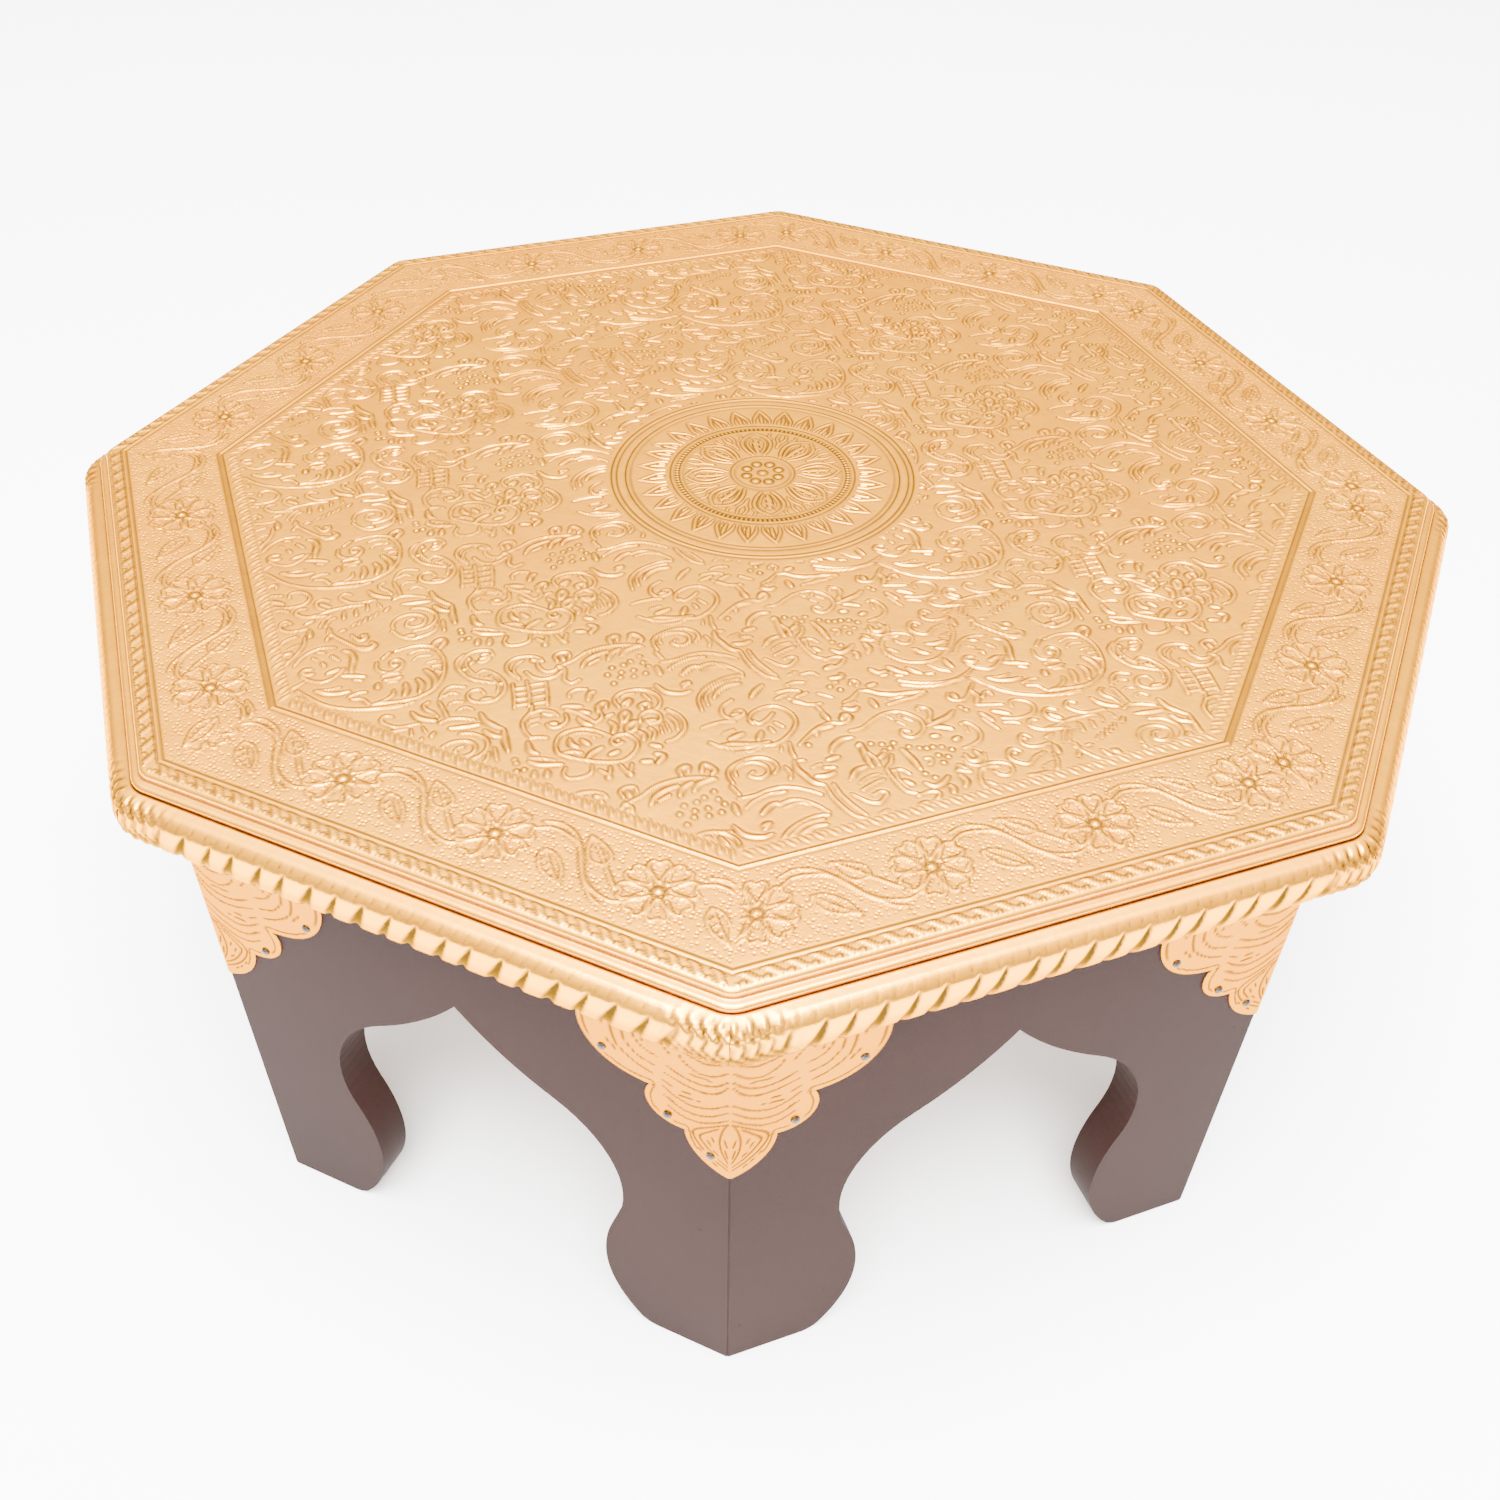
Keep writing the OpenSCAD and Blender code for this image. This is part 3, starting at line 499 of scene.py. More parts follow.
def heart_petals():
    """Eight heart-shaped petals round a point: outlines at 45 degree steps, and their sinks."""
    half = [(2.6, 0.25), (4.4, 1.15), (6.5, 2.3), (8.3, 2.45), (9.3, 1.45), (8.5, 0.15)]
    outlines, sinks = [], []
    for k in range(8):
        c, s = math.cos(k * STEP + 0.35), math.sin(k * STEP + 0.35)
        for hand in (1, -1):
            outlines.append([(p * c - q * hand * s, p * s + q * hand * c) for p, q in half])
        sinks.append([(p * c, p * s) for p in (3.6, 5.2, 6.6, 7.4)])
    return outlines, sinks


def flower_map():
    """One flower, its vine and its leaves, repeating along the border. The petals are sunk, and
    matt at the bottom: the map's third value."""
    outlines, sinks = heart_petals()
    vine = [
        [(7.6, -5.2), (12.2, -7.2), (18.8, -5.6), (22, -2.4), (25.3, 2.9), (29.3, 6.2),
         (34.5, 7.6), (38, 6.4)],
        [(8.6, -8.3), (13, -9.3), (17.6, -7.6), (20.6, -4.2), (23.4, 0.4), (26.4, 4.6),
         (30, 8.2), (33, 9.6)],
        [(34.2, 4), (31.6, 1.4), (28.8, -1.6)],
    ]
    leaves = [
        [(13.3, -0.6), (13.6, 2.8), (16.2, 6), (22.2, 8.4)],
        [(13.3, -0.6), (16.6, 0.2), (20, 3.4), (22.2, 8.4)],
        [(13.5, -0.4), (17, 3.6), (21.4, 7.8)],
        [(28.8, -1.6), (25, -1.6), (22.6, -4.4), (21.2, -9)],
        [(28.8, -1.6), (28.6, -5), (25.4, -7.4), (21.2, -9)],
        [(28.4, -2), (25.6, -5), (21.6, -8.8)],
    ]
    ribs = [[(15.2 + 1.5 * k, 1.6 + 1.6 * k), (14.6 + 1.6 * k, 3.6 + 1.3 * k)] for k in range(4)]
    ribs += [[(27 - 1.4 * k, -3.4 - 1.3 * k), (27.4 - 1.5 * k, -5 - 1.0 * k)] for k in range(4)]
    work = ([(p, (0.42, 0.5)) for p in outlines] + [(p, (0.45, 0.6)) for p in vine]
            + [(p, (0.38, 0.48)) for p in leaves] + [(p, (0.3, 0.34)) for p in ribs]
            + [([(0, 0)], (1.15, 1.15))])
    size, corner = (FLOWER_PITCH, FLOWER_BAND), (0, -FLOWER_BAND / 2)
    table = strokes_to_map(size, work, corner)
    wells = strokes_to_map(size, [(p, (1.1, 1.9)) for p in sinks], corner)
    table[..., 0] -= 0.35 * np.clip(wells[..., 0], 0, 1)
    matt = np.clip(wells[..., 0] * 2.4, 0, 1)
    return np.concatenate([table, matt[..., None]], 2)


def scroll_map():
    """One repeat of the scrolls that cover the field."""
    groups = ((LEAF_STROKES, LEAF_W), (SCROLL_STROKES, SCROLL_W), (FINE_STROKES, FINE_W))
    return strokes_to_map(REPEAT, [(points, width) for group, width in groups for points in group]
                          + [((seed,), SEED_W) for seed in SEEDS])


def sun_map():
    """One pointed leaf of the medallion, repeating round it: across, and out from the centre."""
    pitch = 2 * math.pi * SUN_R / SUN_LEAVES
    m = pitch / 2
    return strokes_to_map((pitch, 12.0), [
        ([(m - 2.9, 0.6), (m - 2.5, 3.2), (m - 0.6, 6.6), (m + 0.7, 9)], (0.36, 0.55)),
        ([(m + 2.7, 0.6), (m + 2.6, 3.4), (m + 1.6, 6.4), (m + 0.7, 9)], (0.36, 0.55)),
        ([(m, 0.8), (m + 0.1, 3), (m + 0.4, 5.4)], (0.3, 0.6)),
        ([(m - 1.3, 1), (m - 1.1, 3)], (0.3, 0.36)),
    ])


def petal_map():
    """One petal of the rosette with half of the leaf on each side of it: out, and across."""
    lines = []
    for hand in (1, -1):
        lines += [
            ([(11, 1.6 * hand), (14, 3.5 * hand), (18, 4.6 * hand), (21.6, 3.6 * hand),
              (24.6, 0.2 * hand)], (0.42, 0.55)),
            ([(12.4, 1.2 * hand), (15, 2.2 * hand), (18.4, 2.9 * hand), (21.4, 1.7 * hand)],
             (0.3, 0.42)),
            ([(15, 6.1 * hand), (18, 7.1 * hand), (21, 7.2 * hand), (24.2, 9.2 * hand)],
             (0.32, 0.48)),
            ([(20.4, 5.4 * hand), (22.6, 4.6 * hand), (24.6, 5.6 * hand)], (0.3, 0.4)),
        ]
    lines += [([(13, 0), (17, 0.3), (21, 0)], (0.35, 0.8)), ([(14.6, -1), (16, 0.9)], (0.3, 0.4)),
              ([(17.4, -1.2), (18.8, 1.2)], (0.3, 0.4)), ([(20, -1), (21.2, 0.8)], (0.3, 0.4))]
    return strokes_to_map((30.0, 30.0), lines, (0, -15.0))


SCROLLS = scroll_map()
FLOWERS = flower_map()
SUN = sun_map()
PETALS = petal_map()
LEAF_ROW = strokes_to_map((LEAF_PITCH, 6.0), [
    ([(0.4, 1.0), (1.3, 2.5), (2.7, 4.2)], (0.3, 0.62)),
    ([(2.2, 1.2), (2.9, 1.7), (3.2, 2.6)], (0.28, 0.36))])
TWIST = strokes_to_map((TWIST_PITCH, 5.5), [
    ([(0.1, 1.0), (1.5, 1.5), (3.2, 3.4), (4.9, 4.3)], (0.34, 0.6)),
    ([(1.0, 0.8), (2.6, 1.5), (4.3, 3.4), (5.6, 4.0)], (0.28, 0.42)),
    ([(0.6, 3.6)], (0.6, 0.6))])


def raised_line(off, width, height):
    """A rounded line with a crease on each side: height and crease at a distance off it."""
    # the creases on each side also carry painted shade in the brass
    side = hump(np.abs(off) - width * 1.25, width * 0.5)
    return np.stack([height * hump(off, width * 0.6) - 0.12 * side, side], -1)


def sway(x, y):
    """Slow unevenness of hammered sheet, 0.05 mm high: one bent sine times another."""
    return 0.05 * np.sin(x * 0.21 + 1.3 * np.sin(y * 0.07)) * np.sin(y * 0.19 + np.sin(x * 0.11))


def force(x, y):
    """How hard the scrolls were struck, from 0.66 to 1.18, changing over a few millimetres: one
    bent sine times another."""
    bent_x, bent_y = x * 0.8 + 2 * np.sin(y * 0.43), y * 0.7 + 2 * np.sin(x * 0.37)
    return 0.92 + 0.26 * np.sin(bent_x) * np.sin(bent_y)


def medallion_relief(x, y):
    """Height and crease of the medallion: rings, beads and pointed leaves round it, and the
    rosette's petals and bosses."""
    r, turn = np.hypot(x, y), np.arctan2(y, x)
    relief = np.zeros(r.shape + (2,))
    for radius, width, height in RINGS:
        relief += raised_line(r - radius, width, height)
    beads = 0.5 + 0.5 * np.cos(turn * BEADS)
    relief[..., 0] += hump(r - BEADS_R, 0.65) * (0.24 * beads - 0.1)
    # painted shade between the beads
    relief[..., 1] += hump(r - BEADS_R, 0.8) * (1 - beads)
    sun = read_map(SUN, (turn + math.pi) * SUN_R, r - SUN_START)
    relief += sun * (0.6, 1.1) * between(r, 30.0, 30.6, 40.2, 41)[..., None]
    fold = (turn + 0.25 + HALF) % STEP - HALF
    petals = read_map(PETALS, r * np.cos(fold), r * np.sin(fold) + 15)
    relief += petals * (0.4, 1.1) * between(r, 10.6, 11.4, 24.4, 25.2)[..., None]
    ring = (turn + HALF) % STEP - HALF
    for d in (np.hypot(r * np.cos(ring) - BOSSES_R, r * np.sin(ring)), r):
        relief[..., 0] += BOSS_H * hump(d, 0.85)
        # painted shade round each boss
        relief[..., 1] += hump(d - 1.5, 0.45)
    return relief


def top_relief(side, along, out):
    """Height, crease and matt ground of the flat part of the top.

    The field takes the scroll map, turned; inside the inner line comes a row of leaves; then
    the flower border, the outer line and the twisted border. Each fades out at the mitres. The
    ground is matt between the flowers, where nothing stands up, and in the petals.
    """
    x, y = on_side(side, along, out)
    c, s = math.cos(REPEAT_TURN), math.sin(REPEAT_TURN)
    mitre = smooth(out * TAN_HALF - np.abs(along), 0.3, 1.5)
    scroll = read_map(SCROLLS, x * c + y * s, x * s - y * c)
    in_field = smooth(np.hypot(x, y), 49.0, 50.4) * (1 - smooth(out - INNER_LINE_A, -6.2, -5.2))
    row = read_map(LEAF_ROW, along + ROW_START, out - INNER_LINE_A + 6.0)
    in_row = between(out - INNER_LINE_A, -5.6, -5, -1.4, -1) * mitre
    flower = read_map(FLOWERS, along - FLOWER_START[side - 1], out - FLOWER_A + FLOWER_BAND / 2)
    in_border = between(out, INNER_LINE_A + 1.6, INNER_LINE_A + 2.4,
                        OUTER_LINE_A - 2.4, OUTER_LINE_A - 1.6) * mitre
    twist = read_map(TWIST, along + ROW_START, out - OUTER_LINE_A)
    in_twist = between(out, OUTER_LINE_A + 0.7, OUTER_LINE_A + 1.1, FLAT_A - 1.4, FLAT_A - 1) * mitre
    both = (scroll * (in_field * force(x, y))[..., None] + 0.65 * row * in_row[..., None]
            + flower[..., :2] * in_border[..., None] + twist * in_twist[..., None]
            + raised_line(out - INNER_LINE_A, 0.6, 0.32)
            + raised_line(out - OUTER_LINE_A, 0.6, 0.32))
    height = both[..., 0] + sway(x, y) * (1 - smooth(out, FLAT_A - 3, FLAT_A - 1))
    quiet = 1 - smooth(np.abs(both[..., 0]), 0.04, 0.14)
    ground = quiet * between(out, INNER_LINE_A + 1.2, INNER_LINE_A + 2,
                             OUTER_LINE_A - 2, OUTER_LINE_A - 1.2)
    return height, np.clip(both[..., 1], 0, 0.9), np.maximum(ground, flower[..., 2] * in_border)


# ---------------------------------------------------------------- brass top
def medallion():
    """The round middle of the top: rings of points out to MEDALLION_END, as many on each as the
    field has on its first row, and a fan of triangles round the middle point."""
    q = np.linspace(-1, 1, SIDE_COLUMNS // 2 + 1)[:-1]
    turn = np.concatenate([facing(side) + q * HALF for side in range(1, SIDES + 1)])
    r = np.linspace(0, MEDALLION_END, MEDALLION_RINGS + 1)[1:, None]
    x, y = r * np.cos(turn), r * np.sin(turn)
    relief = medallion_relief(x, y)
    z = FLAT_Z + relief[..., 0] + sway(x, y)
    points = np.vstack([np.stack([x, y, z], 2).reshape(-1, 3), [(0, 0, FLAT_Z + BOSS_H)]])
    n = np.arange(z.size).reshape(z.shape)
    ahead = np.roll(n, -1, 1)
    quads = np.stack([n[:-1], n[1:], ahead[1:], ahead[:-1]], 2).reshape(-1, 4)
    fan = np.stack([n[0], ahead[0], np.full(turn.size, n.size)], 1)
    crease = np.append(np.clip(relief[..., 1], 0, 1).ravel(), 0)
    brass_piece("medallion", points, np.vstack([quads[:, [0, 1, 2]], quads[:, [0, 2, 3]], fan]),
                BRASS, "brass_top", crease)


def field_wedge(side):
    """The field between the medallion and the inner line, one of eight.

    Straight rulings run from the medallion's circle to the octagon at JOIN_A, and on to the
    inner line with twice as many columns. Three triangles for each column join the two grids.
    """
    def rulings(start, end, rows, columns, from_circle):
        q = np.linspace(-1, 1, columns)
        if from_circle:
            out, along = start * np.cos(q * HALF), start * np.sin(q * HALF)
        else:
            out, along = np.full(columns, start), start * TAN_HALF * q
        t = np.linspace(0, 1, rows)[:, None]
        return along + (end * TAN_HALF * q - along) * t, out + (end - out) * t

    half = SIDE_COLUMNS // 2
    rows_in = int((JOIN_A - MEDALLION_END) / INNER_ROW)
    rows_out = int((INNER_LINE_A - JOIN_A) / OUTER_ROW)
    start = JOIN_A + (INNER_LINE_A - JOIN_A) / rows_out
    inner = rulings(MEDALLION_END, JOIN_A, rows_in, half + 1, True)
    outer = rulings(start, INNER_LINE_A, rows_out, SIDE_COLUMNS + 1, False)
    along, out = (np.concatenate([a.ravel(), b.ravel()]) for a, b in zip(inner, outer))
    z, crease, ground = top_relief(side, along, out)
    x, y = on_side(side, along, out)
    first = inner[0].size
    quads = np.vstack([grid_faces(rows_in, half + 1),
                       grid_faces(rows_out, SIDE_COLUMNS + 1, first)])
    i = first - half - 1 + np.arange(half)
    o = first + 2 * np.arange(half)
    joins = [np.stack(corners, 1) for corners in ((o, o + 1, i), (o + 1, i + 1, i),
                                                  (o + 1, o + 2, i + 1))]
    triangles = np.vstack([quads[:, [0, 1, 3]], quads[:, [1, 2, 3]]] + joins)
    brass_piece(f"embossed_field_{side}", np.stack([x, y, FLAT_Z + z], 1), triangles, BRASS,
                "brass_top", crease, ground)


def rim_path(offset):
    """Path round a side with round corners: along, out and the outward turn at each column.

    The straight run is as long as the side of the octagon at BACK_A; each end turns by half a
    corner on an arc of radius CORNER_R + offset.
    """
    run = BACK_A * TAN_HALF
    turn = np.linspace(0, HALF, CORNER_COLUMNS)[1:]
    radius = CORNER_R + offset
    along = np.concatenate([-(run + radius * np.sin(turn))[::-1],
                            np.linspace(-run, run, RIM_COLUMNS), run + radius * np.sin(turn)])
    out = BACK_A + np.concatenate([(radius * np.cos(turn))[::-1],
                                   np.full(RIM_COLUMNS, radius), radius * np.cos(turn)])
    lean = np.concatenate([-turn[::-1], np.zeros(RIM_COLUMNS), turn])
    return along, out, lean


def flower_border(side):
    """The border outside the inner line: straight rulings from the octagon at the inner line to
    the round-cornered path where the moulded edge starts."""
    along_end, out_end, _ = rim_path(RIM_START)
    along_start = INNER_LINE_A * TAN_HALF * along_end / along_end[-1]
    rows = int((out_end.max() - INNER_LINE_A) / BORDER_ROW)
    t = np.linspace(0, 1, rows)[:, None]
    along = along_start + (along_end - along_start) * t
    out = INNER_LINE_A + (out_end - INNER_LINE_A) * t
    z, crease, ground = top_relief(side, along, out)
    x, y = on_side(side, along, out)
    brass_piece(f"flower_border_{side}", np.stack([x, y, FLAT_Z + z], 2).reshape(-1, 3),
                grid_faces(*along.shape), BRASS, "brass_top", crease, ground)


def edge_profile():
    """Section of the moulded edge, as (out from the flat's edge, up from the flat) points.

    Flat, quarter round lip, narrow groove, step with a bead, half-round roll, folded edge.
    """
    def arc(cx, cy, r, start, end, count):
        a = np.radians(np.linspace(start, end, count))
        return np.stack([cx + r * np.cos(a), cy + r * np.sin(a)], 1)
    bottom = -EDGE_DEPTH
    flat = np.stack([np.linspace(RIM_START, -LIP_R, 9)[:-1], np.zeros(8)], 1)
    return np.vstack([
        flat,
        arc(-LIP_R, -LIP_R, LIP_R, 90, 0, 6),
        [(0.02, -2.1), (0.15, -2.5), (0.6, -STEP_DROP + 0.02)],
        arc(BEAD_OUT, -STEP_DROP - BEAD_R, BEAD_R, 90, -40, 8),
        arc(ROLL_OUT, bottom + ROLL_R, ROLL_R, 82, -90, 29),
        [(-1.6, bottom), (-FOLD_UNDER, bottom), (-FOLD_UNDER, bottom + SHEET),
         (-1.6, bottom + SHEET)],
    ])


def rolled_edge(side):
    """The moulded edge: its section carried round a side, with the roll hammered by hand.

    The roll swells out by a smooth window of its angle, but for its widest band. Each notch is a
    bell across and a window down the roll, and its middle moves along with height, so it leans; a
    short tick stands above it. Near a corner, folds take the place of the notches: the sum of two
    slanting sines. The crease values are painted shade: darkest in the notches and folds and in the two
    grooves under the lip and the bead, and lighter over a band from the roll's middle downwards.
    """
    profile = edge_profile()
    offset, up = profile[:, :1], profile[:, 1:]
    along, out, lean = (np.array(part) for part in zip(*map(rim_path, profile[:, 0])))
    run = BACK_A * TAN_HALF
    centre_up = ROLL_R - EDGE_DEPTH
    angle = np.arctan2(up - centre_up, offset - ROLL_OUT)
    below = -np.degrees(angle)
    on_roll = smooth(offset, 1.6, 3.0) * smooth(centre_up + ROLL_R - 0.3 - up, 0, 0.8)
    swell = SWELL * smooth(np.abs(below), 12, 32) * (1 - smooth(-below, 60, 78))
    swell *= 1 - smooth(below, 62, 85)
    depth = NOTCH_DEPTH + swell

    place = along - (up - centre_up) * NOTCH_LEAN
    phase = place / NOTCH_PITCH + 0.06 * np.sin(place * 0.37 + side)
    across = (phase + 50) % 1 - 0.45
    notch = hump(across, 0.06 + 0.08 * smooth(below, -40, 12)) * between(below, -42, -16, 50, 72)
    tick = hump((phase * 2 + 50.25) % 1 - 0.5, 0.06) * hump(-below - 44, 7)

    near = hump(np.clip(run - 1.5 - np.abs(along), 0, None), GATHER)
    fold = (0.5 + 0.5 * np.sin(along * 1.9 + 0.9 * up + 1.7 * np.sin(up * 1.1 + side))) ** 1.4
    fold += 0.5 * (0.5 + 0.5 * np.sin(along * 3.7 - 1.3 * up + side * 2.1))

    pressed = (1 - near) * np.clip(notch * depth + 0.15 * tick, 0, depth)
    pressed += near * np.clip(0.66 * fold, 0, 1) * depth
    pressed = on_roll * (pressed - swell)
    along = along - pressed * np.cos(angle) * np.sin(lean)
    out = out - pressed * np.cos(angle) * np.cos(lean)
    flat_height, flat_crease, _ = top_relief(side, along, out)
    is_flat = (offset < -LIP_R + 0.4) & (up > -0.2)
    z = FLAT_Z + up - pressed * np.sin(angle) + np.where(is_flat, flat_height, 0)

    # painted shade: dark in the notches, ticks and corner folds, and over a band from the roll's middle
    # downwards
    dark = (1 - near) * np.clip(notch * 2.4, 0, 1) + 0.7 * tick
    dark += near * (0.9 * np.clip(fold - 0.35, 0, 1) + 0.4 * smooth(below, -20, 15))
    dark = np.clip(dark + 0.3 * smooth(below, -8, 25), 0, 1) * on_roll
    dark *= 1 - 0.5 * smooth(below, 12, 40)
    # painted shade under the lip and under the bead
    under_lip = 0.8 * hump(up + 2.2, 0.35) * hump(offset, 0.5)
    under_bead = hump(up + 4.4, 0.6) * between(offset, 1.9, 2.2, 2.7, 3.2)
    crease = np.maximum(np.where(is_flat, flat_crease, dark), np.maximum(under_lip, under_bead))
    x, y = on_side(side, along, out)
    brass_piece(f"rolled_edge_{side}", np.stack([x, y, z], 2).reshape(-1, 3),
                grid_faces(*along.shape), BRASS, "brass_top", crease)


# ---------------------------------------------------------------- corner plates
# Half a plate, across from the corner line and up from its tip: the two notches of its edge, the
# end of its last lobe, how wide it is at the top, how far each lobe bulges, and the nails of the
# leaf on each hand.
NOTCH_1, NOTCH_2, TAIL, PLATE_W = (12.5, 14.8), (21.5, 28.2), (41.0, 47.0), 42.5
LOBE_BULGES = (3.3, 5.7, 6.5)
NAILS = {-1: ((5.2, 7.1), (17, 17.6), (34.5, 35.5)), 1: ((17, 17.6), (34.5, 35.5))}
PLATE_ROWS, PLATE_COLUMNS = 140, 54
# Grooves of half a plate: a leaf on the corner line, nested curves that meet on the line above
# it, and arcs in the third lobe.
PLATE_LINES = (
    ((0.2, 6.5), (2, 10.5), (2.6, 15), (1.8, 20), (0.2, 24)),
    ((0.2, 3.4), (4, 5.8), (7.4, 9.2), (9.8, 13.6), (9.2, 16.4), (5.5, 19.4), (0.3, 23.6)),
    ((0.3, 5), (3.6, 7.4), (6.4, 10.8), (8, 14.2), (5.4, 17.6), (2.8, 20.4)), ((0.5, 9), (1.2, 12)),
    ((0.6, 13.5), (1.4, 16.5)), ((3.4, 3.7), (4.6, 4.6)), ((5.4, 5.3), (6.4, 6.3)),
    ((7.6, 7.7), (8.4, 8.8)), ((3, 8.6), (4.4, 9.8)), ((5, 11.6), (6, 13.6)), ((4.2, 13.8), (4.8, 15.6)),
    ((0.3, 25.4), (4, 22.2), (8.6, 19.8), (12.8, 20), (16.8, 22.2)),
    ((0.4, 28.5), (4.6, 24.6), (9.4, 22.6), (13.6, 23.4), (17.6, 26)),
    ((0.4, 31.5), (5, 27.6), (10, 26), (14.4, 27.2), (17.8, 29.6)), ((9.8, 28.6), (13.4, 28.4)),
    ((10.2, 30.6), (12.6, 30.4)), ((14.6, 24.4), (16.4, 25.4)), ((15.4, 30.8), (17.6, 32)),
    ((7.6, 29), (8.6, 28.8)), ((0.3, 39), (2.8, 35.2), (6.4, 33.2), (11.3, 33.4), (17.2, 35.2)),
    ((0.3, 41), (3.4, 37.6), (7.4, 36), (12, 36.4), (16.8, 38.4)),
    ((0.3, 44.5), (3.8, 41.2), (8, 40.2), (11.8, 42.4), (13.4, 44.8)),
    ((0.3, 48.5), (3, 46), (7, 44.8), (12.4, 46.2)), ((0.4, 52), (4, 49.6), (9, 49.4), (13, 51.6)),
    ((0.4, 55.5), (5, 53.4), (10, 54), (13, 56.6)), ((4.6, 38.8), (10.4, 38.6)),
    ((20.5, 33), (25, 34.5), (29.5, 38), (31.6, 43), (31.8, 50)),
    ((20, 36.5), (24.6, 38), (28, 42), (29, 47), (28.6, 54)),
    ((19.4, 40.5), (23.4, 42), (25.8, 46), (25.8, 52)), ((21.8, 44.4), (22.4, 47.4)),
    ((23.2, 44), (23.8, 47)), ((20.4, 44.8), (20.9, 47.4)),
    ((15.4, 43), (18, 46.4), (19.6, 50), (18.6, 54), (15.6, 55.6)), ((16, 47.4), (16.8, 51.6)),
    ((33.6, 44), (34.6, 50), (34, 56)), ((30.6, 36.6), (33.2, 39.6)),
)


def bulged(p, q, s, count=14):
    """Points of an arc from p to q that bulges by s to the right of the way from p to q."""
    p, q = np.array(p, float), np.array(q, float)
    chord = np.hypot(*(q - p))
    r = (chord ** 2 / 4 + s * s) / (2 * s)
    normal = np.array([q[1] - p[1], p[0] - q[0]]) / chord
    c = (p + q) / 2 + (s - r) * normal
    a0, a1 = np.arctan2(*(p - c)[::-1]), np.arctan2(*(q - c)[::-1])
    a = np.linspace(a0, a1 if a1 > a0 else a1 + 2 * math.pi, count)
    return c + r * np.stack([np.cos(a), np.sin(a)], 1)


def evenly(points, count):
    """count points at equal steps along a broken line."""
    run = np.concatenate([[0], np.cumsum(np.hypot(*np.diff(points, axis=0).T))])
    at = np.linspace(0, run[-1], count)
    return np.stack([np.interp(at, run, points[:, k]) for k in range(2)], 1)


def plate_outline():
    """Edge of half a plate: three lobes, and the straight end up to the top."""
    return np.vstack([bulged((0, 0), NOTCH_1, LOBE_BULGES[0]),
                      bulged(NOTCH_1, NOTCH_2, LOBE_BULGES[1])[1:],
                      bulged(NOTCH_2, TAIL, LOBE_BULGES[2])[1:], [(PLATE_W, PLATE_H)]])


def plate_map():
    """The grooves as a map, with one more along the lobes, 1.7 mm inside the edge."""
    edge = plate_outline()
    step = np.gradient(edge, axis=0)
    normal = np.stack([-step[:, 1], step[:, 0]], 1) / np.hypot(*step.T)[:, None]
    lines = [(edge[8:] + 1.7 * normal[8:], (0.3, 0.36))]
    lines += [(line, (0.3, 0.42)) for line in PLATE_LINES]
    return strokes_to_map((60.0, 76.0), lines, (-4.0, -4.0))


PLATE = plate_map()


def plate_leaf(hand):
    """Across, up, height and crease of one leaf: straight rulings from the corner line to the
    outline, raised by a wide bell, with the grooves pressed in and flat round the nails."""
    edge = evenly(plate_outline(), PLATE_ROWS)[1:]
    f = np.linspace(0, 1, len(edge))
    inner = np.stack([0 * f, PLATE_H * np.clip(0.25 * f + 0.75 * f ** 1.1, 0, 1)], 1)
    inner[0, 1] = 0.3
    t = np.linspace(0, 1, PLATE_COLUMNS)[None, :, None]
    flat = inner[:, None] + (edge - inner)[:, None] * t
    across, up = flat[..., 0], flat[..., 1]
    groove = read_map(PLATE, across + 4, up + 4)[..., 0]
    calm = np.ones(across.shape)
    for nail in NAILS[hand]:
        calm *= smooth(np.hypot(across - nail[0], up - nail[1]), 1.5, 2.8)
    rim = smooth(1 - t[..., 0], 0, 0.03)
    swell = 0.35 * hump(across - 14, 12) * hump(up - 34, 22)
    height = SHEET + (swell - 0.5 * groove) * calm * smooth(across, 0, 0.6) * rim
    # painted shade in the grooves
    crease = np.clip(groove * 3.2, 0, 0.75) * calm * smooth(across, 0, 0.5)
    # the last column drops to the panel, so the sheet's edge shows
    across, up, crease = (np.hstack([part, part[:, -1:]]) for part in (across, up, crease))
    return across, up, np.hstack([np.maximum(height, 0.2), np.zeros((len(edge), 1))]), crease


def corner_plate(number):
    """Two leaves meeting on the corner line: the right-hand end of one side and the left-hand
    end of the next."""
    points, faces, creases = [], [], []
    for hand, side in ((-1, number), (1, number + 1)):
        across, up, height, crease = plate_leaf(hand)
        # on the corner itself a point is pushed along, so both leaves share it
        along = -hand * (BASE_W / 2 - across + height * TAN_HALF * (across < 0.001))
        x, y = on_side(side, along, BASE_A + height)
        leaf = np.stack([x, y, PLATE_Z + up], 2).reshape(-1, 3)
        way = (math.cos(facing(side)), math.sin(facing(side)), 0)
        faces.append(outward(leaf, grid_faces(*across.shape), way) + len(leaf) * len(points))
        points.append(leaf)
        creases.append(crease.ravel())
    brass_piece(f"plate_{number}", np.vstack(points), np.vstack(faces), SHADED_PLATE_BRASS,
                f"corner_plate_{number}", np.concatenate(creases))


# ---------------------------------------------------------------- materials
def colour(text):
    """Linear colour of an sRGB hex value."""
    parts = [int(text[k:k + 2], 16) / 255 for k in (1, 3, 5)]
    return [c / 12.92 if c <= 0.04045 else ((c + 0.055) / 1.055) ** 2.4 for c in parts] + [1]


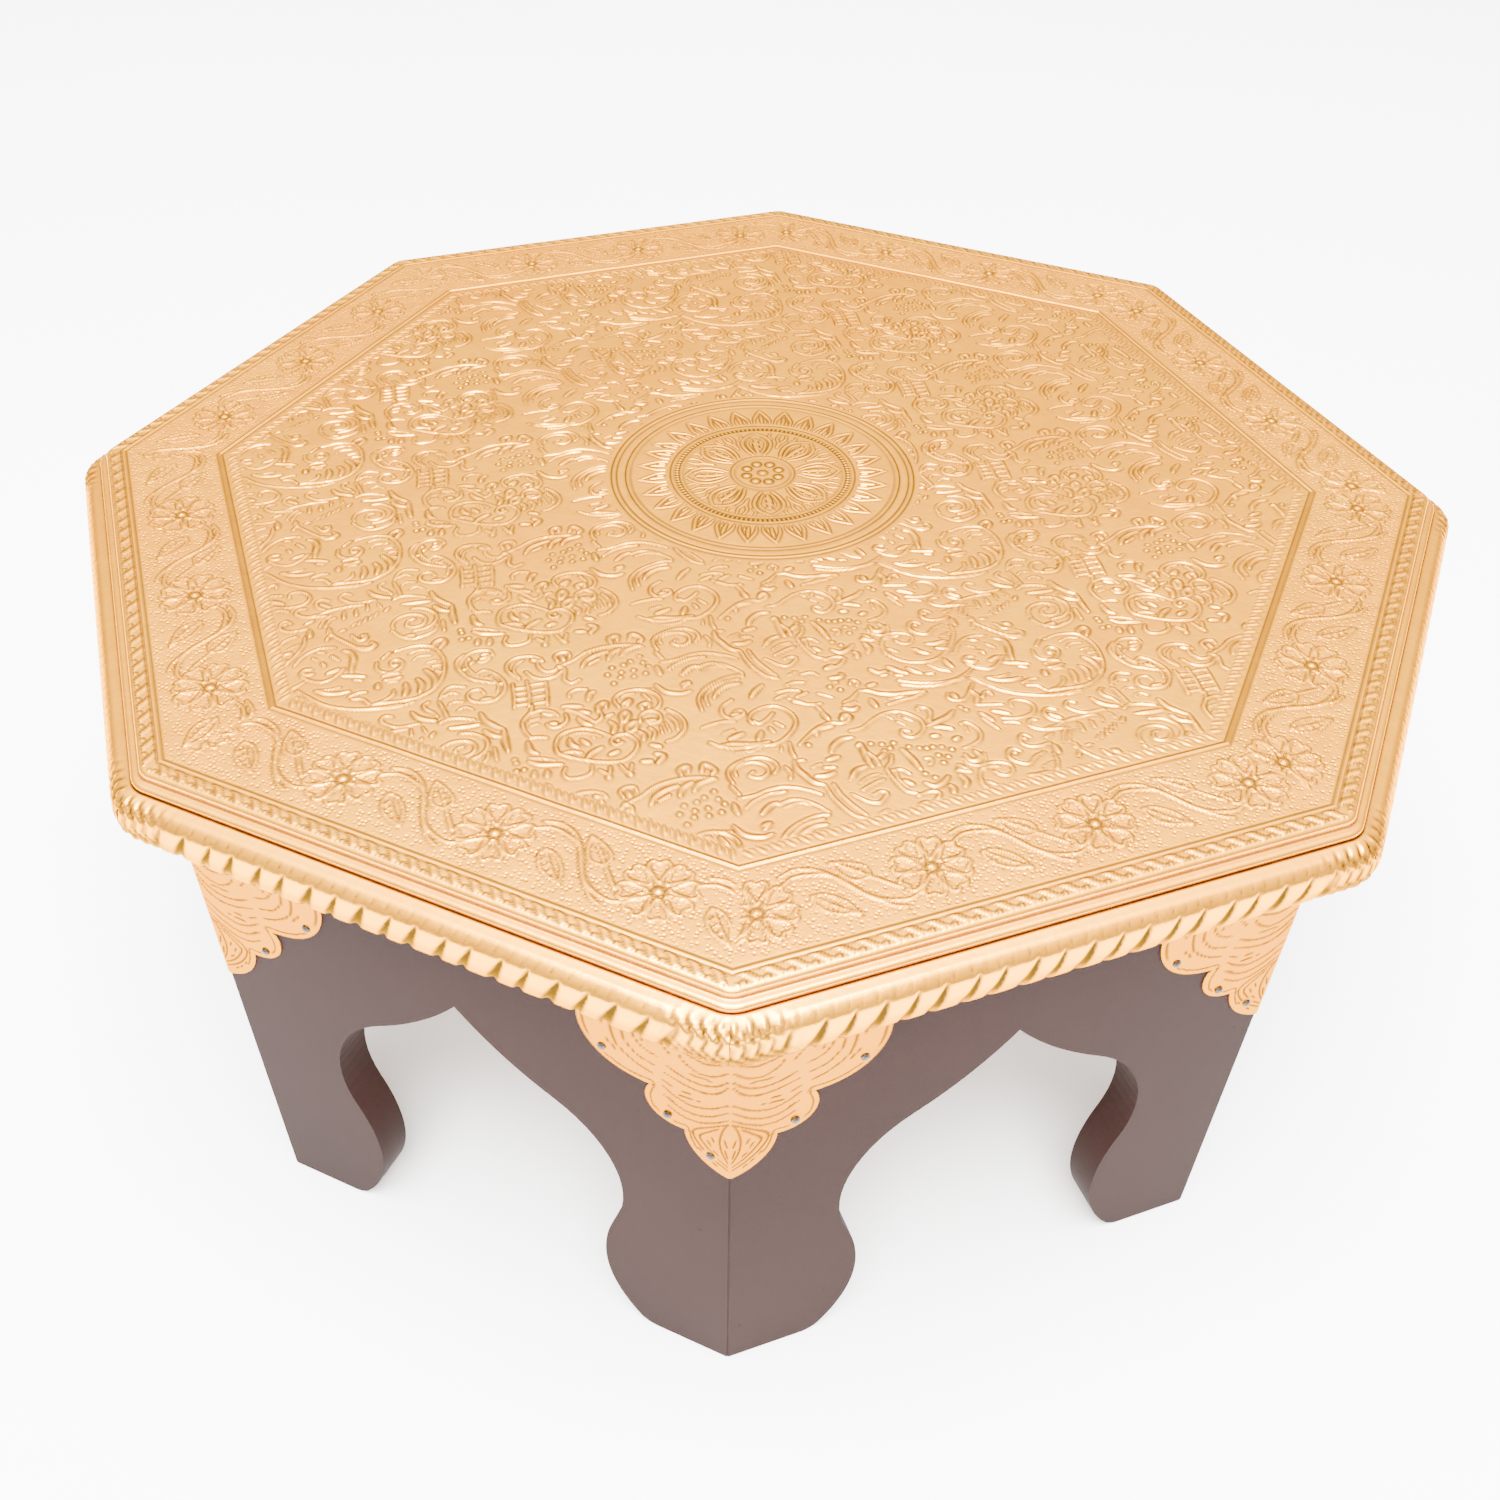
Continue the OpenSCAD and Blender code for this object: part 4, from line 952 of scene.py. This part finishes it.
def add(tree, kind, inputs=(), stops=(), **properties):
    """Adds a node. inputs pairs the name or number of a socket with a value or another node's
    output, stops gives a ramp its places with greys or hex colours, and properties are the
    node's own."""
    node = tree.nodes.new(kind)
    for name, value in properties.items():
        setattr(node, name, value)
    for socket, value in inputs:
        if isinstance(value, bpy.types.NodeSocket):
            tree.links.new(value, node.inputs[socket])
        else:
            node.inputs[socket].default_value = value
    for k, (place, value) in enumerate(stops):
        if k == len(node.color_ramp.elements):
            node.color_ramp.elements.new(place)
        node.color_ramp.elements[k].position = place
        grey = (value, value, value, 1)
        node.color_ramp.elements[k].color = colour(value) if isinstance(value, str) else grey
    return node


def per(size_mm):
    """Scale of a pattern whose features are size_mm across."""
    return 1 / (size_mm * MM)


def start(name):
    """A new material with its shader: the node tree, the shader and Object coordinates."""
    material = bpy.data.materials.new(name)
    material.use_nodes = True
    tree = material.node_tree
    shader = next(node for node in tree.nodes if node.type == "BSDF_PRINCIPLED")
    return material, tree, shader, add(tree, "ShaderNodeTexCoord").outputs["Object"]


def pressed_brass(name, clean, shade_and_ground_tone, roughness):
    """Hand-pressed brass sheet: yellow metal, polished but slightly dulled, brown with painted
    shade in the creases, and darker and matt on the punched ground."""
    material, tree, shader, where = start(name)
    crease, ground = (add(tree, "ShaderNodeAttribute", attribute_name=label).outputs["Fac"]
                      for label in ("crease", "ground"))
    # tarnish in clouds 45 mm across, then a darker punched ground, and painted shade in the creases
    cloud = add(tree, "ShaderNodeTexNoise", [("Vector", where), ("Scale", per(45)), ("Detail", 3)])
    tone = add(tree, "ShaderNodeValToRGB", [("Fac", cloud.outputs["Fac"])],
               ((0.3, clean[0]), (0.7, clean[1]))).outputs["Color"]
    # painted shade: the creases go darker brown, reaching the second tone in the deepest; the first tone
    # also darkens the punched ground by up to 0.3
    for source, stops, darker_tone in ((ground, ((0, 0.0), (1, 0.3)), shade_and_ground_tone[0]),
                                 (crease, ((0, 0.0), (0.6, 1.0)), shade_and_ground_tone[0]),
                                 (crease, ((0.6, 0.0), (1, 1.0)), shade_and_ground_tone[1])):
        share = add(tree, "ShaderNodeValToRGB", [("Fac", source)], stops).outputs["Color"]
        tone = add(tree, "ShaderNodeMix", [(0, share), (6, tone), (7, colour(darker_tone))],
                   data_type="RGBA").outputs[2]
    tree.links.new(tone, shader.inputs["Base Color"])
    # wear of cleaning in patches 6 mm across, duller on the ground and in the creases
    wear = add(tree, "ShaderNodeTexNoise", [("Vector", where), ("Scale", per(6)), ("Detail", 6),
                                            ("Roughness", 0.7)]).outputs["Fac"]
    polish = add(tree, "ShaderNodeValToRGB", [("Fac", wear)],
                 ((0.35, roughness[0]), (0.7, roughness[1]))).outputs["Color"]
    dull = add(tree, "ShaderNodeMath", [(0, ground), (1, 0.14), (2, polish)],
               operation="MULTIPLY_ADD").outputs[0]
    duller = add(tree, "ShaderNodeMath", [(0, crease), (1, 0.15), (2, dull)],
                 operation="MULTIPLY_ADD").outputs[0]
    tree.links.new(duller, shader.inputs["Roughness"])
    # dots punched 1.25 mm apart, and soft hammering of the whole sheet at 2.2 mm
    dots = add(tree, "ShaderNodeTexVoronoi", [("Vector", where), ("Scale", per(1.25)),
                                              ("Randomness", 0.55)]).outputs["Distance"]
    punch = add(tree, "ShaderNodeValToRGB", [("Fac", dots)], ((0.1, 1.0), (0.5, 0.0)))
    punched = add(tree, "ShaderNodeMath", [(0, punch.outputs["Color"]), (1, ground)],
                  operation="MULTIPLY").outputs[0]
    pits = add(tree, "ShaderNodeBump", [("Height", punched), ("Strength", 0.55),
                                        ("Distance", 0.4 * MM)], invert=True).outputs[0]
    blows = add(tree, "ShaderNodeTexNoise", [("Vector", where), ("Scale", per(2.2)),
                                             ("Detail", 4)]).outputs["Fac"]
    soft = add(tree, "ShaderNodeBump", [("Height", blows), ("Normal", pits), ("Strength", 0.22),
                                        ("Distance", 0.3 * MM)]).outputs[0]
    tree.links.new(soft, shader.inputs["Normal"])
    shader.inputs["Metallic"].default_value = 1.0
    # brass stays yellow where a curve turns away
    shader.inputs["Specular Tint"].default_value = colour("#FFD890")
    return material


def lacquered_wood():
    """Sanded panels under thin dark brown satin lacquer: almost no grain, a fine speckle 0.45 mm
    across, a slow change of tone over 70 mm, and here and there a pin hole painted as a dark dot of
    shade."""
    material, tree, shader, where = start("lacquered wood")
    cloud = add(tree, "ShaderNodeTexNoise", [("Vector", where), ("Scale", per(70)), ("Detail", 2)])
    brown = add(tree, "ShaderNodeValToRGB", [("Fac", cloud.outputs["Fac"])],
                ((0.3, "#1D1210"), (0.7, "#221512"))).outputs["Color"]
    specks = add(tree, "ShaderNodeTexNoise", [("Vector", where), ("Scale", per(0.45)),
                                              ("Detail", 2), ("Roughness", 0.7)]).outputs["Fac"]
    share = add(tree, "ShaderNodeValToRGB", [("Fac", specks)], ((0.3, 0.0), (0.7, 0.45)))
    tone = add(tree, "ShaderNodeMix", [(0, share.outputs["Color"]), (6, brown),
                                       (7, colour("#2E1D19"))], data_type="RGBA").outputs[2]
    # pin holes: dark dots of painted shade, with no hole in the mesh
    cells = add(tree, "ShaderNodeTexVoronoi", [("Vector", where), ("Scale", per(14))])
    painted_hole_shade = add(tree, "ShaderNodeValToRGB", [("Fac", cells.outputs["Distance"])],
                ((0.025, 1.0), (0.045, 0.0))).outputs["Color"]
    pinned = add(tree, "ShaderNodeMix", [(0, painted_hole_shade), (6, tone), (7, colour("#120C0A"))],
                 data_type="RGBA").outputs[2]
    tree.links.new(pinned, shader.inputs["Base Color"])
    brush = add(tree, "ShaderNodeTexNoise", [("Vector", where), ("Scale", per(0.5)), ("Detail", 3)])
    bump = add(tree, "ShaderNodeBump", [("Height", brush.outputs["Fac"]), ("Strength", 0.16),
                                        ("Distance", 0.2 * MM)]).outputs[0]
    tree.links.new(bump, shader.inputs["Normal"])
    shader.inputs["Roughness"].default_value = 0.55
    shader.inputs["Specular IOR Level"].default_value = 0.03
    return material


def raw_softwood():
    """Unpainted softwood: pale board and blocks with brown growth lines 3 mm apart."""
    material, tree, shader, where = start("raw softwood")
    along = add(tree, "ShaderNodeMapping", [("Vector", where), ("Scale", (0.06, 1, 1))]).outputs[0]
    grain = add(tree, "ShaderNodeTexNoise", [("Vector", along), ("Scale", per(3)), ("Detail", 5),
                                             ("Roughness", 0.55)]).outputs["Fac"]
    tone = add(tree, "ShaderNodeValToRGB", [("Fac", grain)],
               ((0.32, "#A07748"), (0.5, "#C29A68"), (0.7, "#D3B083"))).outputs["Color"]
    tree.links.new(tone, shader.inputs["Base Color"])
    bump = add(tree, "ShaderNodeBump", [("Height", grain), ("Strength", 0.25),
                                        ("Distance", 0.3 * MM)]).outputs[0]
    tree.links.new(bump, shader.inputs["Normal"])
    shader.inputs["Roughness"].default_value = 0.7
    return material


def drawn_steel():
    """Drawn steel wire nails and screws: grey metal, dulled in patches a millimetre across."""
    material, tree, shader, where = start("drawn steel")
    for size, stops, socket in ((1.2, ((0.3, "#3C3732"), (0.7, "#57514B")), "Base Color"),
                                (0.8, ((0.3, 0.3), (0.7, 0.45)), "Roughness")):
        patches = add(tree, "ShaderNodeTexNoise", [("Vector", where), ("Scale", per(size)),
                                                   ("Detail", 3)]).outputs["Fac"]
        tone = add(tree, "ShaderNodeValToRGB", [("Fac", patches)], stops).outputs["Color"]
        tree.links.new(tone, shader.inputs[socket])
    shader.inputs["Metallic"].default_value = 1.0
    return material


# the second pair of colours is painted shade for the creases; its first colour also darkens the punched
# ground
BRASS = pressed_brass("pressed brass sheet", ("#FCA410", "#FEAD1A"), ("#A66C0C", "#3C2C12"),
                      (0.2, 0.3))
# painted shade: the same brass as the top, coloured darker for the upright corner plates; its second pair
# of colours is painted shade for the grooves
SHADED_PLATE_BRASS = pressed_brass("pressed brass corner in painted shade", ("#B06C0A", "#B8740C"),
                            ("#643C08", "#2C1A04"), (0.22, 0.32))
WOOD = lacquered_wood()
SOFTWOOD = raw_softwood()
STEEL = drawn_steel()
FINISHES = {"brass_top": BRASS, "corner_plate": SHADED_PLATE_BRASS, "side_panel": WOOD,
            "top_board": SOFTWOOD, "corner_block": SOFTWOOD, "plate_nails": STEEL,
            "block_screws": STEEL, "rim_tacks": STEEL}

for number in range(1, SIDES + 1):
    field_wedge(number)
    flower_border(number)
    rolled_edge(number)
    corner_plate(number)
medallion()

# a node's finish goes by its name without the number
for name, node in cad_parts.items():
    node.data.materials.clear()
    node.data.materials.append(FINISHES[name.rstrip("_12345678")])


# ---------------------------------------------------------------- stage, light and camera
def pale_floor():
    """A plain pale disc under the table, 8 m across: one face with 96 corners."""
    ring = [(4 * math.cos(a), 4 * math.sin(a), -0.0005)
            for a in np.linspace(0, 2 * math.pi, 97)[:-1]]
    mesh = bpy.data.meshes.new("floor")
    mesh.from_pydata(ring, [], [list(range(96))])
    floor = bpy.data.objects.new("floor", mesh)
    bpy.context.scene.collection.objects.link(floor)
    material, tree, shader, where = start("pale floor")
    cloud = add(tree, "ShaderNodeTexNoise", [("Vector", where), ("Scale", per(400)), ("Detail", 3)])
    tone = add(tree, "ShaderNodeValToRGB", [("Fac", cloud.outputs["Fac"])],
               ((0.3, "#FAFAFA"), (0.7, "#FCFCFC"))).outputs["Color"]
    tree.links.new(tone, shader.inputs["Base Color"])
    shader.inputs["Roughness"].default_value = 0.9
    shader.inputs["Specular IOR Level"].default_value = 0.1
    mesh.materials.append(material)


def soft_light(name, place, target, size, power):
    """A square soft box at place that looks at target."""
    lamp = bpy.data.lights.new(name, "AREA")
    lamp.shape, lamp.size, lamp.energy = "SQUARE", size, power
    thing = bpy.data.objects.new(name, lamp)
    thing.location = place
    thing.rotation_euler = (Vector(target) - Vector(place)).to_track_quat("-Z", "Y").to_euler()
    bpy.context.scene.collection.objects.link(thing)


def room():
    """World light: bright overhead, dimmer near the horizon."""
    world = bpy.data.worlds.new("studio")
    bpy.context.scene.world = world
    world.use_nodes = True
    tree = world.node_tree
    way = add(tree, "ShaderNodeTexCoord").outputs["Generated"]
    rise = add(tree, "ShaderNodeSeparateXYZ", [("Vector", way)]).outputs["Z"]
    shade = add(tree, "ShaderNodeValToRGB", [("Fac", rise)],
                ((0.0, 0.12), (0.25, 0.16), (0.5, 0.25), (0.68, 0.35), (0.85, 0.7), (1.0, 1.0)))
    background = next(node for node in tree.nodes if node.type == "BACKGROUND")
    tree.links.new(shade.outputs["Color"], background.inputs["Color"])
    background.inputs["Strength"].default_value = 11.0


def main_camera():
    """The camera: its place, turn, tilt and small roll, with a 35.5 mm lens on a 36 mm sensor."""
    turn, tilt, roll = (math.radians(a) for a in (23.81, 43.03, 1.29))
    back = Vector((math.sin(turn) * math.cos(tilt), -math.cos(turn) * math.cos(tilt),
                   math.sin(tilt)))
    level = Vector((math.cos(turn), math.sin(turn), 0))
    rise = back.cross(level)
    right = math.cos(roll) * level + math.sin(roll) * rise
    up = -math.sin(roll) * level + math.cos(roll) * rise
    data = bpy.data.cameras.new("camera")
    data.sensor_width, data.lens, data.shift_y = 36.0, 35.49, 0.023
    data.clip_start, data.clip_end = 0.01, 20
    camera = bpy.data.objects.new("camera", data)
    place = Matrix((right, up, back)).transposed().to_4x4()
    place.translation = Vector((0.16380, -0.37563, 0.42482))
    camera.matrix_world = place
    bpy.context.scene.collection.objects.link(camera)
    bpy.context.scene.camera = camera


pale_floor()
room()
soft_light("front soft box", (0.5, -1.3, 1.5), (0, 0, 0.1), 1.2, 70)
soft_light("top soft box", (0.2, -0.55, 2.0), (0, 0, 0), 1.4, 280)
main_camera()
